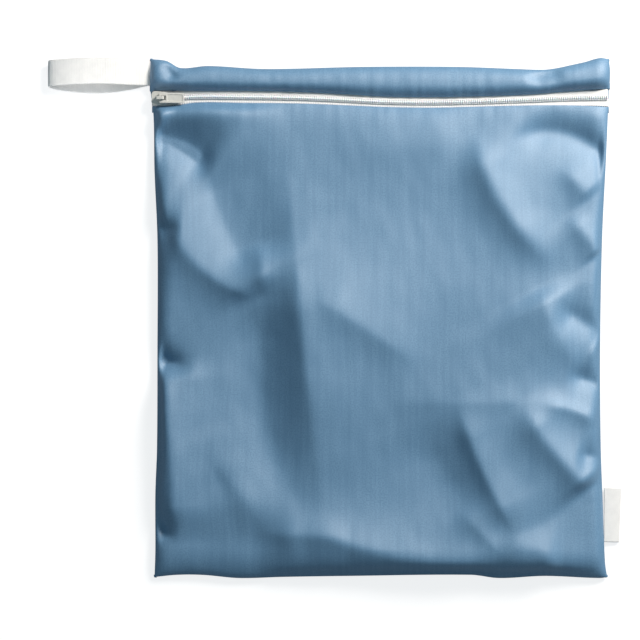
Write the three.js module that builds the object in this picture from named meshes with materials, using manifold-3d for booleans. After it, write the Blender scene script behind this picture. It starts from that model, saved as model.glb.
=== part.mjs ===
// A cloth wet bag that lies flat with its zip side up.
// Millimetres, +Z up. The origin is on the underside at the middle of the bag. +X runs to the
// right along the zip and +Y runs up the bag towards the zip.
import * as THREE from "three";
import { mergeVertices } from "three/addons/utils/BufferGeometryUtils.js";
import Module from "manifold-3d";

const wasm = await Module();
wasm.setup();

// Bag
const BAG_WIDTH = 313;
const BAG_HEIGHT = 353;
const CLOTH = 1.2;
const GAP = 0.3;
const PANEL_HEIGHT = 11;
const BAND_HEIGHT = 12;
const EDGE_WANDER = 8;
const SEAM_LIFT = 1;
const SIDE_ROLL = 10;
const BOTTOM_ROLL = 20;
const BACK_ROLL = 9;
const FOLD_RISE = 12;
const FOLD_REACH = 30;
const FOLD_FALL = 1.2;

// Zip
const TAPE = 1;
const TAPE_TUCK = 3;
const TAPE_PARTING = 0.4;
const ZIP_RISE = 1.5;
const COIL_WIDTH = 4.2;
const COIL_HEIGHT = 1.6;

// Slider and its pull tab
const PLATE = 1.2;
const SLIDER_LENGTH = 10.9;
const SLIDER_NOSE_WIDTH = 9.6;
const SLIDER_TAIL_WIDTH = 7.6;
const SLIDER_FLANGE = 0.9;
const NOSE_REACH = 6;
const SLIDER_FROM_SIDE = 7.3;
const POST_WIDTH = 2;
const POST_LENGTH = 2.8;
const BRIDGE_WIDTH = 2.2;
const BRIDGE_BAR = 1.1;
const TAB_LENGTH = 17;
const TAB_WIDTH = 6.8;
const TAB_THICKNESS = 1.3;
const TAB_ARM = 1.9;
const TAB_RECESS = 0.3;
const TAB_DROOP = THREE.MathUtils.degToRad(7);

// Webbing loop at the top left corner
const LOOP_REACH = 69;
const WEBBING_WIDTH = 18;
const WEBBING = 1.4;
const LOOP_HEIGHT = 11;
const LOOP_FROM_TOP = 0.9;

// Folded tape in the right side seam
const LABEL_OUT = 12;
const LABEL_LENGTH = 37;
const LABEL_THICKNESS = 1.2;
const LABEL_DROOP = 1;

// Grid steps of the cloth walls
const PANEL_COLUMNS = 31;
const PANEL_ROWS = 28;
const BACK_COLUMNS = 14;
const BACK_ROWS = 16;
const ROLL_STEPS = 4;

// Turns lines of values into rows with named columns.
const table = (columns, ...lines) =>
  lines.map((line) => Object.fromEntries(columns.map((column, i) => [column, line[i]])));

// Each edge of the bag: a share of the way along it, and how far it stays inside the full
// size there, as a share of EDGE_WANDER.
const LEFT_EDGE = table(["along", "inset"],
  [0, 0.06], [0.054, 0], [0.108, 0.3], [0.216, 0.39], [0.35, 0.64],
  [0.56, 0.64], [0.75, 0.6], [0.84, 0.46], [0.95, 0.46], [1, 0.39]);
const RIGHT_EDGE = table(["along", "inset"],
  [0, 0.12], [0.03, 0], [0.108, 0.18], [0.19, 0.34], [0.35, 0.68],
  [0.57, 0.85], [0.75, 0.79], [0.85, 0.63], [0.97, 0.43], [1, 0.25]);
const TOP_EDGE = table(["along", "inset"],
  [0, 0.09], [0.035, 0.25], [0.066, 0.85], [0.127, 0.68], [0.25, 0.94], [0.46, 0.76],
  [0.67, 0.76], [0.8, 0.94], [0.856, 1], [0.886, 0.85], [0.916, 0.6], [0.947, 0.34],
  [0.98, 0], [1, 0.12]);
const BOTTOM_EDGE = table(["along", "inset"],
  [0, 0], [0.05, 0.18], [0.11, 0.18], [0.19, -0.09], [0.28, 0], [0.43, 0.09],
  [0.7, 0.18], [0.76, -0.09], [0.86, 0.09], [0.98, -0.09], [1, 0]);

// The slot that shows the zip: a share of the way across the bag, and the slot's upper and
// lower edges there as shares of the way down it.
const ZIP_SLOT = table(["along", "upper", "lower"],
  [0, 0.0635, 0.0935], [0.04, 0.0635, 0.0932], [0.1, 0.0642, 0.0865], [0.2, 0.0645, 0.0875],
  [0.33, 0.067, 0.089], [0.42, 0.071, 0.092], [0.52, 0.076, 0.0955], [0.62, 0.0765, 0.0965],
  [0.72, 0.075, 0.0945], [0.82, 0.0715, 0.0925], [0.91, 0.0652, 0.092], [1, 0.0595, 0.0945]);

// Folds of the front panel. A fold runs from one place to another, both as shares across and
// down the bag, and bows to its left by a share of FOLD_REACH. It rises by a share of
// FOLD_RISE and dies away to its left and right over shares of FOLD_REACH. Its crest is
// rounded by a share of FOLD_REACH, and it grows and fades over shares of its own length.
const FOLD_COLUMNS = ["name", "fromX", "fromY", "toX", "toY", "bow",
  "rise", "left", "right", "crest", "grow", "fade"];
const FOLDS = table(FOLD_COLUMNS,
  ["zip shoulder", 0, 0.1, 0.31, 0.104, 0, 0.6, 0.17, 0.43, 0.1, 0.1, 0.6],
  ["corner hollow across", 0, 0.145, 0.135, 0.225, 0.2, -0.8, 0.6, 0.4, 0.12, 0.15, 0.3],
  ["corner hollow down", 0.122, 0.185, 0.228, 0.42, -0.12, -0.45, 1.2, 0.5, 0.12, 0.3, 0.25],
  ["long ridge", 0.29, 0.12, 0.385, 0.94, 0, 0.88, 2.2, 0.75, 0.06, 0.45, 0.4],
  ["long ridge, middle", 0.308, 0.36, 0.35, 0.75, 0, 0.34, 0.8, 0.45, 0.06, 0.35, 0.6],
  ["hollow beside the long ridge", 0.248, 0.455, 0.34, 0.9, -0.5, -0.45, 0.5, 0.65, 0.17, 0.2, 0.4],
  ["left slant", 0.025, 0.2, 0.234, 0.46, -0.7, 0.54, 0.95, 0.4, 0.08, 0.35, 0.12],
  ["branch of the left slant", 0.238, 0.35, 0.25, 0.462, 0, 0.3, 0.35, 0.25, 0.07, 0.4, 0.4],
  ["upper middle", 0.36, 0.19, 0.72, 0.15, 0, 0.24, 0.8, 0.6, 0.2, 0.5, 0.3],
  ["right fall", 0.8, 0.3, 0.8, 0.99, 0, 0.42, 1.6, 3, 0.4, 0.3, 0.05],
  ["upper right slant", 0.7, 0.14, 0.885, 0.405, -0.33, 0.66, 0.55, 0.42, 0.1, 0.25, 0.35],
  ["right knee", 0.84, 0.44, 0.94, 0.61, -0.15, 0.55, 0.7, 0.9, 0.05, 0.2, 0.55],
  ["middle slant", 0.345, 0.452, 0.6, 0.6, 0.04, 0.38, 0.8, 0.5, 0.07, 0.25, 0.4],
  ["cross ridge", 0.51, 0.664, 0.93, 0.662, 0.03, 0.33, 0.8, 0.55, 0.05, 0.4, 0.4],
  ["lower slant", 0.664, 0.652, 0.793, 0.912, -0.11, 0.6, 0.8, 0.32, 0.06, 0.3, 0.22],
  ["hollow beside the lower slant", 0.58, 0.7, 0.665, 0.89, 0, -0.24, 0.4, 0.9, 0.23, 0.4, 0.4],
  ["lower right slant", 0.798, 0.66, 0.952, 0.826, -0.11, 0.7, 0.5, 0.46, 0.08, 0.3, 0.12],
  ["right finger", 0.83, 0.664, 0.97, 0.7, 0.09, 0.27, 0.17, 0.25, 0.06, 0.4, 0.2],
  ["bottom roll, left", 0.225, 0.913, 0.435, 0.92, 0, 0.7, 0.7, 0.8, 0.05, 0.45, 0.42],
  ["bottom roll, middle", 0.345, 0.906, 0.77, 0.98, -0.2, 0.75, 0.7, 0.6, 0.06, 0.2, 0.3],
  ["bottom roll, right", 0.62, 0.965, 0.98, 0.985, 0, 0.35, 0.6, 0.3, 0.08, 0.4, 0.3],
  ["bottom slant", 0.665, 0.861, 0.775, 0.962, 0, 0.34, 0.8, 0.35, 0.06, 0.35, 0.3],
  ["bottom bump", 0.745, 0.952, 0.89, 0.983, 0.33, 0.42, 0.6, 0.45, 0.08, 0.3, 0.3],
  ["lower left corner", 0.09, 0.72, 0.272, 0.92, 0.05, 0.38, 0.8, 0.5, 0.1, 0.4, 0.3],
  ["lower left dimple", 0.112, 0.73, 0.18, 0.865, 0, -0.2, 0.5, 0.35, 0.08, 0.4, 0.4],
  ["lower left shoulder", 0.018, 0.585, 0.052, 0.93, 0.13, 0.6, 0.7, 0.3, 0.06, 0.12, 0.2],
  ["left pucker, high", -0.01, 0.324, 0.07, 0.331, 0, -0.55, 0.3, 0.45, 0.05, 0.05, 0.4],
  ["left pucker, middle", -0.01, 0.573, 0.1, 0.6, 0, -0.8, 0.25, 0.45, 0.04, 0.05, 0.7],
  ["left pucker, low", -0.01, 0.89, 0.06, 0.925, 0, -0.6, 0.35, 0.2, 0.04, 0.05, 0.5],
  ["right arc", 0.77, 0.162, 0.99, 0.19, 0.4, -0.6, 0.33, 0.42, 0.1, 0.4, 0.05],
  ["right rib, upper", 0.885, 0.202, 0.956, 0.27, 0, 0.25, 0.35, 0.25, 0.08, 0.5, 0.2],
  ["right rib, lower", 0.9, 0.3, 0.974, 0.375, 0, 0.3, 0.3, 0.3, 0.08, 0.4, 0.1],
  ["right pucker, high", 0.877, 0.47, 0.985, 0.53, -0.05, -0.45, 0.3, 0.35, 0.08, 0.4, 0.1],
  ["right pucker, middle", 0.9, 0.605, 0.985, 0.63, 0, -0.42, 0.3, 0.25, 0.05, 0.5, 0.1],
  ["right pucker, low", 0.92, 0.76, 0.99, 0.772, 0, -0.4, 0.25, 0.3, 0.04, 0.4, 0.1]);
const BAND_FOLDS = table(FOLD_COLUMNS,
  ["left pucker", 0.03, 0.01, 0.06, 0.05, 0, -0.25, 0.1, 0.15, 0.05, 0.3, 0.4],
  ["right crease", 0.81, 0.045, 0.9, 0.022, 0, -0.25, 0.1, 0.2, 0.05, 0.4, 0.3]);

// The webbing loop from its upper end to its lower end: shares of LOOP_REACH out from the
// seam, of LOOP_HEIGHT up from the floor, and of WEBBING_WIDTH towards the bag's bottom.
const LOOP_PATH = table(["out", "up", "slip"],
  [0, 0.34, 0], [0.12, 0.55, 0], [0.3, 0.84, -0.02], [0.5, 0.93, -0.04], [0.72, 0.88, -0.02],
  [0.9, 0.7, 0.02], [0.98, 0.5, 0.04], [0.985, 0.28, 0.08], [0.9, 0.11, 0.16],
  [0.7, 0.075, 0.26], [0.45, 0.075, 0.28], [0.2, 0.09, 0.16], [0.06, 0.16, 0.04], [0, 0.19, 0]);

const SEAM_TOP = SEAM_LIFT + CLOTH + GAP;
const ZIP_END_TOP = SEAM_LIFT + CLOTH + GAP + PLATE + GAP + TAPE;
const HEM = GAP + CLOTH;
const CREST_SHARE = 0.62;

const mix = THREE.MathUtils.lerp;
const clamp01 = (value) => THREE.MathUtils.clamp(value, 0, 1);
const smooth = (from, to, value) => {
  const t = clamp01((value - from) / (to - from));
  return t * t * (3 - 2 * t);
};

// A smooth value between the rows of a table.
function readTable(rows, column, along) {
  const last = rows.length - 1;
  const place = THREE.MathUtils.clamp(along, rows[0].along, rows[last].along);
  let i = 0;
  while (i < last - 1 && rows[i + 1].along < place) i += 1;
  const slope = (k) => {
    const before = rows[Math.max(k - 1, 0)];
    const after = rows[Math.min(k + 1, last)];
    return (after[column] - before[column]) / (after.along - before.along);
  };
  const span = rows[i + 1].along - rows[i].along;
  const t = (place - rows[i].along) / span;
  const t2 = t * t;
  const t3 = t2 * t;
  return (2 * t3 - 3 * t2 + 1) * rows[i][column] + (t3 - 2 * t2 + t) * slope(i) * span
    + (3 * t2 - 2 * t3) * rows[i + 1][column] + (t3 - t2) * slope(i + 1) * span;
}

const across = (x) => x / BAG_WIDTH + 0.5;
const down = (y) => 0.5 - y / BAG_HEIGHT;
const placeX = (share) => (share - 0.5) * BAG_WIDTH;
const placeY = (share) => (0.5 - share) * BAG_HEIGHT;
const leftEdge = (y) => placeX(0) + readTable(LEFT_EDGE, "inset", down(y)) * EDGE_WANDER;
const rightEdge = (y) => placeX(1) - readTable(RIGHT_EDGE, "inset", down(y)) * EDGE_WANDER;
const topEdge = (x) => placeY(0) - readTable(TOP_EDGE, "inset", across(x)) * EDGE_WANDER;
const bottomEdge = (x) => placeY(1) + readTable(BOTTOM_EDGE, "inset", across(x)) * EDGE_WANDER;
const zipUpper = (x) => placeY(readTable(ZIP_SLOT, "upper", across(x)));
const zipLower = (x) => placeY(readTable(ZIP_SLOT, "lower", across(x)));
const zipMiddle = (x) => (zipUpper(x) + zipLower(x)) / 2;

// Height share of a rounded edge that is square to the floor at the rim.
const roll = (distance, width) => Math.sqrt(1 - (1 - clamp01(distance / width)) ** 2);

// How far the tape's top lies above the floor: level at both ends, higher in between.
function zipTop(x) {
  const fromEnd = Math.min(x - leftEdge(zipMiddle(x)), rightEdge(zipMiddle(x)) - x);
  return ZIP_END_TOP + ZIP_RISE * smooth(BAG_WIDTH * 0.05, BAG_WIDTH * 0.2, fromEnd);
}

// Sum of the folds in a table at one place.
function foldHeight(folds, x, y) {
  let sum = 0;
  for (const fold of folds) {
    const startX = placeX(fold.fromX);
    const startY = placeY(fold.fromY);
    const runX = placeX(fold.toX) - startX;
    const runY = placeY(fold.toY) - startY;
    const length = Math.hypot(runX, runY);
    const along = ((x - startX) * runX + (y - startY) * runY) / length ** 2;
    const bow = fold.bow * FOLD_REACH * 4 * along * (1 - along);
    const aside = ((y - startY) * runX - (x - startX) * runY) / length - bow;
    const crest = fold.crest * FOLD_REACH;
    const reach = (aside > 0 ? fold.left : fold.right) * FOLD_REACH;
    const distance = Math.sqrt(aside ** 2 + crest ** 2) - crest;
    const shape = Math.exp(-((distance / reach) ** FOLD_FALL));
    const grown = smooth(-0.02, fold.grow, along) * smooth(1.02, 1 - fold.fade, along);
    sum += fold.rise * FOLD_RISE * shape * grown;
  }
  return sum;
}

// Share of the full height that the rolled sides leave at a place.
const sideShare = (x, y) => roll(x - leftEdge(y), SIDE_ROLL) * roll(rightEdge(y) - x, SIDE_ROLL);

// Outer face of the cloth where it is sewn to the tape.
const hemTop = (x, y) => SEAM_TOP + (zipTop(x) + HEM - SEAM_TOP) * sideShare(x, y);

// Outer height of the front panel.
function panelTop(x, y) {
  const bottomShare = roll(y - bottomEdge(x), BOTTOM_ROLL);
  const fromZip = Math.max(zipLower(x) - y, 0);
  const pillow = SEAM_TOP + (PANEL_HEIGHT - SEAM_TOP) * sideShare(x, y) * bottomShare;
  const rise = 1 - Math.exp(-fromZip / (SIDE_ROLL * 0.8));
  const foldsShow = (1 - Math.exp(-fromZip / (SIDE_ROLL * 0.4)))
    * smooth(0, SIDE_ROLL * 0.6, x - leftEdge(y)) * smooth(0, SIDE_ROLL * 0.6, rightEdge(y) - x)
    * smooth(0, BOTTOM_ROLL * 0.4, y - bottomEdge(x));
  const smoothForm = mix(hemTop(x, y), pillow, rise);
  const folded = smoothForm + foldHeight(FOLDS, x, y) * foldsShow;
  return Math.max(folded, Math.min(smoothForm, CLOTH + GAP + CLOTH + GAP));
}

// Outer height of the band above the zip.
function bandTop(x, y) {
  const t = clamp01((topEdge(x) - y) / (topEdge(x) - zipUpper(x)));
  const crest = SEAM_TOP + (BAND_HEIGHT - SEAM_TOP) * sideShare(x, y);
  if (t < CREST_SHARE) {
    const climb = (crest - SEAM_TOP) * roll(t, CREST_SHARE);
    return SEAM_TOP + climb + foldHeight(BAND_FOLDS, x, y) * roll(t, CREST_SHARE) * sideShare(x, y);
  }
  const turned = ((t - CREST_SHARE) / (1 - CREST_SHARE)) ** 2.2;
  const folds = foldHeight(BAND_FOLDS, x, y) * (1 - turned) * sideShare(x, y);
  return hemTop(x, y) + (crest - hemTop(x, y)) * (1 - turned) + folds;
}

// Shares of a side that put grid lines round a rolled edge at each end and evenly between.
function gridShares(length, firstRoll, lastRoll, steps) {
  const shares = [];
  const bend = (k) => 1 - Math.cos((Math.PI / 2) * (k / ROLL_STEPS));
  for (let k = 0; k < ROLL_STEPS; k += 1) shares.push((firstRoll / length) * bend(k));
  for (let k = 0; k <= steps; k += 1) {
    shares.push(mix(firstRoll / length, 1 - lastRoll / length, k / steps));
  }
  for (let k = ROLL_STEPS - 1; k >= 0; k -= 1) shares.push(1 - (lastRoll / length) * bend(k));
  return shares;
}

// A closed wall between two grids of points with the same rows and columns.
function wallGeometry(upper, lower) {
  const rows = upper.length;
  const columns = upper[0].length;
  const points = [...upper.flat(), ...lower.flat()];
  const top = (j, i) => j * columns + i;
  const under = (j, i) => rows * columns + top(j, i);
  const index = [];
  for (let j = 0; j < rows - 1; j += 1) {
    for (let i = 0; i < columns - 1; i += 1) {
      index.push(top(j, i), top(j + 1, i), top(j + 1, i + 1));
      index.push(top(j, i), top(j + 1, i + 1), top(j, i + 1));
      index.push(under(j, i), under(j + 1, i + 1), under(j + 1, i));
      index.push(under(j, i), under(j, i + 1), under(j + 1, i + 1));
    }
  }
  const rim = [];
  for (let j = 0; j < rows - 1; j += 1) rim.push([j, 0]);
  for (let i = 0; i < columns - 1; i += 1) rim.push([rows - 1, i]);
  for (let j = rows - 1; j > 0; j -= 1) rim.push([j, columns - 1]);
  for (let i = columns - 1; i > 0; i -= 1) rim.push([0, i]);
  rim.forEach((start, k) => {
    const end = rim[(k + 1) % rim.length];
    index.push(top(...start), under(...start), top(...end));
    index.push(top(...end), under(...start), under(...end));
  });
  const geometry = new THREE.BufferGeometry().setFromPoints(points);
  geometry.setIndex(index);
  return geometry;
}

// Horizontal lean of a rolled edge's wall: full at the rim, none past the roll.
const lean = (share) => Math.sqrt(1 - clamp01(share) ** 2);

// Inner point of a cloth wall below an outer point.
function innerPoint(outer, rimY, rimShare) {
  const fromLeft = roll(outer.x - leftEdge(outer.y), SIDE_ROLL);
  const fromRight = roll(rightEdge(outer.y) - outer.x, SIDE_ROLL);
  return new THREE.Vector3(
    outer.x + CLOTH * (lean(fromLeft) - lean(fromRight)),
    outer.y + rimY * CLOTH * lean(rimShare),
    outer.z - CLOTH * fromLeft * fromRight * rimShare,
  );
}

function frontPanel() {
  const columns = gridShares(BAG_WIDTH, SIDE_ROLL, SIDE_ROLL, PANEL_COLUMNS);
  const full = gridShares(BAG_HEIGHT, SIDE_ROLL, BOTTOM_ROLL, PANEL_ROWS);
  const upper = full.map((v) => columns.map((u) => {
    const nearX = placeX(u);
    const y = mix(zipLower(nearX), bottomEdge(nearX), v);
    const x = mix(leftEdge(y), rightEdge(y), u);
    return new THREE.Vector3(x, y, panelTop(x, y));
  }));
  const lower = upper.map((row) => row.map((point) => {
    const rimShare = roll(point.y - bottomEdge(point.x), BOTTOM_ROLL);
    return innerPoint(point, 1, rimShare);
  }));
  return wallGeometry(upper, lower);
}

function topBand() {
  const columns = gridShares(BAG_WIDTH, SIDE_ROLL, SIDE_ROLL, PANEL_COLUMNS);
  const climb = [0, 1, 2, 3, 4].map((k) => CREST_SHARE * (1 - Math.cos((Math.PI / 8) * k)));
  const rows = [...climb, 0.76, 0.88, 0.95, 1];
  const upper = rows.map((v) => columns.map((u) => {
    const nearX = placeX(u);
    const y = mix(topEdge(nearX), zipUpper(nearX), v);
    const x = mix(leftEdge(y), rightEdge(y), u);
    return new THREE.Vector3(x, y, bandTop(x, y));
  }));
  const lower = upper.map((row, j) => row.map((point) =>
    innerPoint(point, -1, roll(rows[j], CREST_SHARE))));
  return wallGeometry(upper, lower);
}

// The back lies on the floor and lifts a little towards its sewn edge.
function backPanel() {
  const columns = gridShares(BAG_WIDTH, BACK_ROLL, BACK_ROLL, BACK_COLUMNS);
  const rows = gridShares(BAG_HEIGHT, BACK_ROLL, BACK_ROLL, BACK_ROWS);
  const lower = rows.map((v) => columns.map((u) => {
    const nearX = placeX(u);
    const y = mix(topEdge(nearX), bottomEdge(nearX), v);
    const x = mix(leftEdge(y), rightEdge(y), u);
    const sides = roll(x - leftEdge(y), BACK_ROLL) * roll(rightEdge(y) - x, BACK_ROLL);
    const ends = roll(topEdge(x) - y, BACK_ROLL) * roll(y - bottomEdge(x), BACK_ROLL);
    return new THREE.Vector3(x, y, SEAM_LIFT * (1 - clamp01(sides * ends)));
  }));
  const upper = lower.map((row) => row.map((point) =>
    new THREE.Vector3(point.x, point.y, point.z + CLOTH)));
  return wallGeometry(upper, lower);
}

const sliderX = placeX(0) + SLIDER_FROM_SIDE;
const sliderY = zipMiddle(sliderX);
const postEnd = sliderX - NOSE_REACH + 1.4 + POST_LENGTH;

// One side of the zip tape. It tucks under the cloth except at its ends, and its inner edge
// goes round the slider's post.
function zipTape(side) {
  const shares = gridShares(BAG_WIDTH, SIDE_ROLL, SIDE_ROLL, PANEL_COLUMNS);
  const inset = GAP / BAG_WIDTH;
  const rows = [0, 1].map((outward) => shares.map((share) => {
    const u = mix(inset, 1 - inset, share);
    const nearX = placeX(u);
    const x = mix(leftEdge(zipMiddle(nearX)), rightEdge(zipMiddle(nearX)), u);
    const fromEnd = Math.min(x - placeX(0), placeX(1) - x);
    const tuck = mix(-GAP, TAPE_TUCK, smooth(SIDE_ROLL * 1.4, SIDE_ROLL * 3, fromEnd));
    const spread = mix(POST_WIDTH / 2 + GAP, TAPE_PARTING / 2,
      smooth(postEnd + GAP, postEnd + POST_LENGTH, x));
    const outerY = (side > 0 ? zipUpper(x) : zipLower(x)) + side * tuck;
    const innerY = zipMiddle(x) + side * spread;
    return new THREE.Vector3(x, outward ? outerY : innerY, zipTop(x));
  }));
  const upper = side > 0 ? [rows[1], rows[0]] : rows;
  const lower = upper.map((row) => row.map((point) =>
    new THREE.Vector3(point.x, point.y, point.z - TAPE)));
  return wallGeometry(upper, lower);
}

// The coil of the closed zip as one rounded bar that follows the tape.
function zipCoil() {
  const start = postEnd + GAP;
  const end = rightEdge(zipMiddle(placeX(1))) - GAP;
  const steps = PANEL_COLUMNS;
  const sides = 8;
  const rings = [];
  for (let k = 0; k <= steps; k += 1) {
    const x = mix(start, end, k / steps);
    const middle = zipTop(x) + GAP + COIL_HEIGHT / 2;
    const ring = [];
    for (let s = 0; s < sides; s += 1) {
      const angle = (2 * Math.PI * (s + 0.5)) / sides;
      const flat = 1 / Math.cos(Math.PI / sides);
      ring.push(new THREE.Vector3(x, zipMiddle(x) + (COIL_WIDTH / 2) * flat * Math.cos(angle),
        middle + (COIL_HEIGHT / 2) * flat * Math.sin(angle)));
    }
    rings.push(ring);
  }
  return closedLoft(rings);
}

// A closed bar through rings of points that run anticlockwise seen from its far end.
function closedLoft(rings) {
  const sides = rings[0].length;
  const index = [];
  for (let k = 0; k < rings.length - 1; k += 1) {
    for (let s = 0; s < sides; s += 1) {
      const a = k * sides + s;
      const b = k * sides + ((s + 1) % sides);
      index.push(a, b, b + sides, a, b + sides, a + sides);
    }
  }
  const last = (rings.length - 1) * sides;
  for (let s = 1; s < sides - 1; s += 1) {
    index.push(0, s + 1, s);
    index.push(last, last + s, last + s + 1);
  }
  const geometry = new THREE.BufferGeometry().setFromPoints(rings.flat());
  geometry.setIndex(index);
  return geometry;
}

// A closed geometry as a solid that can be joined or cut, and back.
function asSolid(geometry) {
  const bare = geometry.clone();
  bare.deleteAttribute("normal");
  bare.deleteAttribute("uv");
  const merged = mergeVertices(bare, 1e-4);
  return new wasm.Manifold(new wasm.Mesh({
    numProp: 3,
    vertProperties: new Float32Array(merged.attributes.position.array),
    triVerts: new Uint32Array(merged.index.array),
  }));
}

function asGeometry(solid) {
  const mesh = solid.getMesh();
  const geometry = new THREE.BufferGeometry();
  geometry.setAttribute("position", new THREE.BufferAttribute(mesh.vertProperties, 3));
  geometry.setIndex(new THREE.BufferAttribute(mesh.triVerts, 1));
  return geometry;
}

function extruded(shape, depth, curveSegments = 5) {
  return new THREE.ExtrudeGeometry(shape, { depth, bevelEnabled: false, curveSegments });
}

// Heights of the slider above the tape's top.
const FLANGE_FOOT = GAP;
const PLATE_UNDER = GAP + COIL_HEIGHT + GAP;
const PLATE_TOP = PLATE_UNDER + PLATE;
const TAIL_REACH = SLIDER_LENGTH - NOSE_REACH;
const AXIS_OVER_PLATE = TAB_THICKNESS / 2 + TAIL_REACH * Math.tan(TAB_DROOP) + GAP;
const AXIS_OVER_TAPE = PLATE_TOP + AXIS_OVER_PLATE;
const WINDOW_UP = TAB_THICKNESS * 0.71 + GAP;
const BRIDGE_REACH = 2.8;
const WINDOW_REACH = BRIDGE_REACH - BRIDGE_BAR;

// Outline of the slider's plates, wide at the nose and narrower at the tail.
function plateShape(trim) {
  const nose = SLIDER_NOSE_WIDTH / 2 - trim;
  const tail = SLIDER_TAIL_WIDTH / 2 - trim;
  const shape = new THREE.Shape();
  shape.moveTo(TAIL_REACH, -tail + 1);
  shape.lineTo(TAIL_REACH, tail - 1);
  shape.quadraticCurveTo(TAIL_REACH, tail, TAIL_REACH - 1, tail);
  shape.lineTo(-NOSE_REACH * 0.35, nose);
  shape.quadraticCurveTo(-NOSE_REACH, nose, -NOSE_REACH, nose * 0.4);
  shape.quadraticCurveTo(-NOSE_REACH * 0.9, 0, -NOSE_REACH, -nose * 0.4);
  shape.quadraticCurveTo(-NOSE_REACH, -nose, -NOSE_REACH * 0.35, -nose);
  shape.lineTo(TAIL_REACH - 1, -tail);
  shape.quadraticCurveTo(TAIL_REACH, -tail, TAIL_REACH, -tail + 1);
  return shape;
}

// The way of the coil through the slider: one lane at the tail and two round the post.
function laneShape() {
  const lane = COIL_WIDTH / 2 + GAP;
  const wide = SLIDER_NOSE_WIDTH / 2 - SLIDER_FLANGE;
  const shape = new THREE.Shape();
  shape.moveTo(TAIL_REACH + 1, -lane);
  shape.lineTo(TAIL_REACH + 1, lane);
  shape.lineTo(0, lane);
  shape.lineTo(-NOSE_REACH * 0.4, wide);
  shape.lineTo(-NOSE_REACH - 1, wide);
  shape.lineTo(-NOSE_REACH - 1, -wide);
  shape.lineTo(-NOSE_REACH * 0.4, -wide);
  shape.lineTo(0, -lane);
  shape.closePath();
  return shape;
}

// The bridge that carries the pull tab, with the window that the tab's bar turns in.
function bridgeShape() {
  const top = AXIS_OVER_PLATE + WINDOW_UP + BRIDGE_BAR;
  const shape = new THREE.Shape();
  shape.moveTo(-BRIDGE_REACH, -PLATE / 2);
  shape.lineTo(BRIDGE_REACH, -PLATE / 2);
  shape.lineTo(BRIDGE_REACH, top - 1.2);
  shape.quadraticCurveTo(BRIDGE_REACH, top, BRIDGE_REACH - 1.2, top);
  shape.lineTo(1.2 - BRIDGE_REACH, top);
  shape.quadraticCurveTo(-BRIDGE_REACH, top, -BRIDGE_REACH, top - 1.2);
  shape.closePath();
  const hole = new THREE.Path();
  hole.moveTo(-WINDOW_REACH, 0.05);
  hole.lineTo(-WINDOW_REACH, top - BRIDGE_BAR);
  hole.lineTo(WINDOW_REACH, top - BRIDGE_BAR);
  hole.lineTo(WINDOW_REACH, 0.05);
  hole.closePath();
  shape.holes.push(hole);
  return shape;
}

function sliderBody() {
  const bodyHeight = PLATE_TOP - FLANGE_FOOT;
  let body = asSolid(extruded(plateShape(0), bodyHeight).translate(0, 0, FLANGE_FOOT));
  const lane = extruded(laneShape(), PLATE_UNDER - FLANGE_FOOT + 1);
  body = body.subtract(asSolid(lane.translate(0, 0, FLANGE_FOOT - 1)));
  const lowerPlate = extruded(plateShape(0.2), PLATE).translate(0, 0, -TAPE - GAP - PLATE);
  body = body.add(asSolid(lowerPlate));
  const postHeight = PLATE_UNDER + TAPE + GAP + PLATE;
  const post = new THREE.BoxGeometry(POST_LENGTH, POST_WIDTH, postHeight);
  post.translate(postEnd - sliderX - POST_LENGTH / 2, 0, PLATE_UNDER + PLATE / 2 - postHeight / 2);
  body = body.add(asSolid(post));
  const bridge = extruded(bridgeShape(), BRIDGE_WIDTH).translate(0, 0, -BRIDGE_WIDTH / 2);
  bridge.rotateX(Math.PI / 2).translate(0, 0, PLATE_TOP);
  return asGeometry(body.add(asSolid(bridge)));
}

// A rectangle with rounded corners between two corner points.
function roundedRectangle(Path, x0, y0, x1, y1, radius) {
  const path = new Path();
  path.moveTo(x0 + radius, y0);
  path.lineTo(x1 - radius, y0);
  path.quadraticCurveTo(x1, y0, x1, y0 + radius);
  path.lineTo(x1, y1 - radius);
  path.quadraticCurveTo(x1, y1, x1 - radius, y1);
  path.lineTo(x0 + radius, y1);
  path.quadraticCurveTo(x0, y1, x0, y1 - radius);
  path.lineTo(x0, y0 + radius);
  path.quadraticCurveTo(x0, y0, x0 + radius, y0);
  return path;
}

// The pull tab about its own hinge axis, lying along +X.
function pullTab() {
  const bar = TAB_THICKNESS / 2;
  const slotEnd = Math.hypot(BRIDGE_REACH, WINDOW_UP + BRIDGE_BAR) + GAP;
  const half = TAB_WIDTH / 2;
  const plate = roundedRectangle(THREE.Shape, -bar, -half, TAB_LENGTH - bar, half, 0.9);
  const slot = half - TAB_ARM;
  plate.holes.push(roundedRectangle(THREE.Path, bar, -slot, slotEnd, slot, 0.4));
  let tab = asSolid(extruded(plate, TAB_THICKNESS, 3).translate(0, 0, -bar));
  const frame = 1.2;
  const panel = roundedRectangle(THREE.Shape, slotEnd + frame, -half + frame,
    TAB_LENGTH - bar - frame, half - frame, 0.6);
  for (const face of [bar - TAB_RECESS, -bar - 1 + TAB_RECESS]) {
    tab = tab.subtract(asSolid(extruded(panel, 1, 3).translate(0, 0, face)));
  }
  return asGeometry(tab);
}

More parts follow.
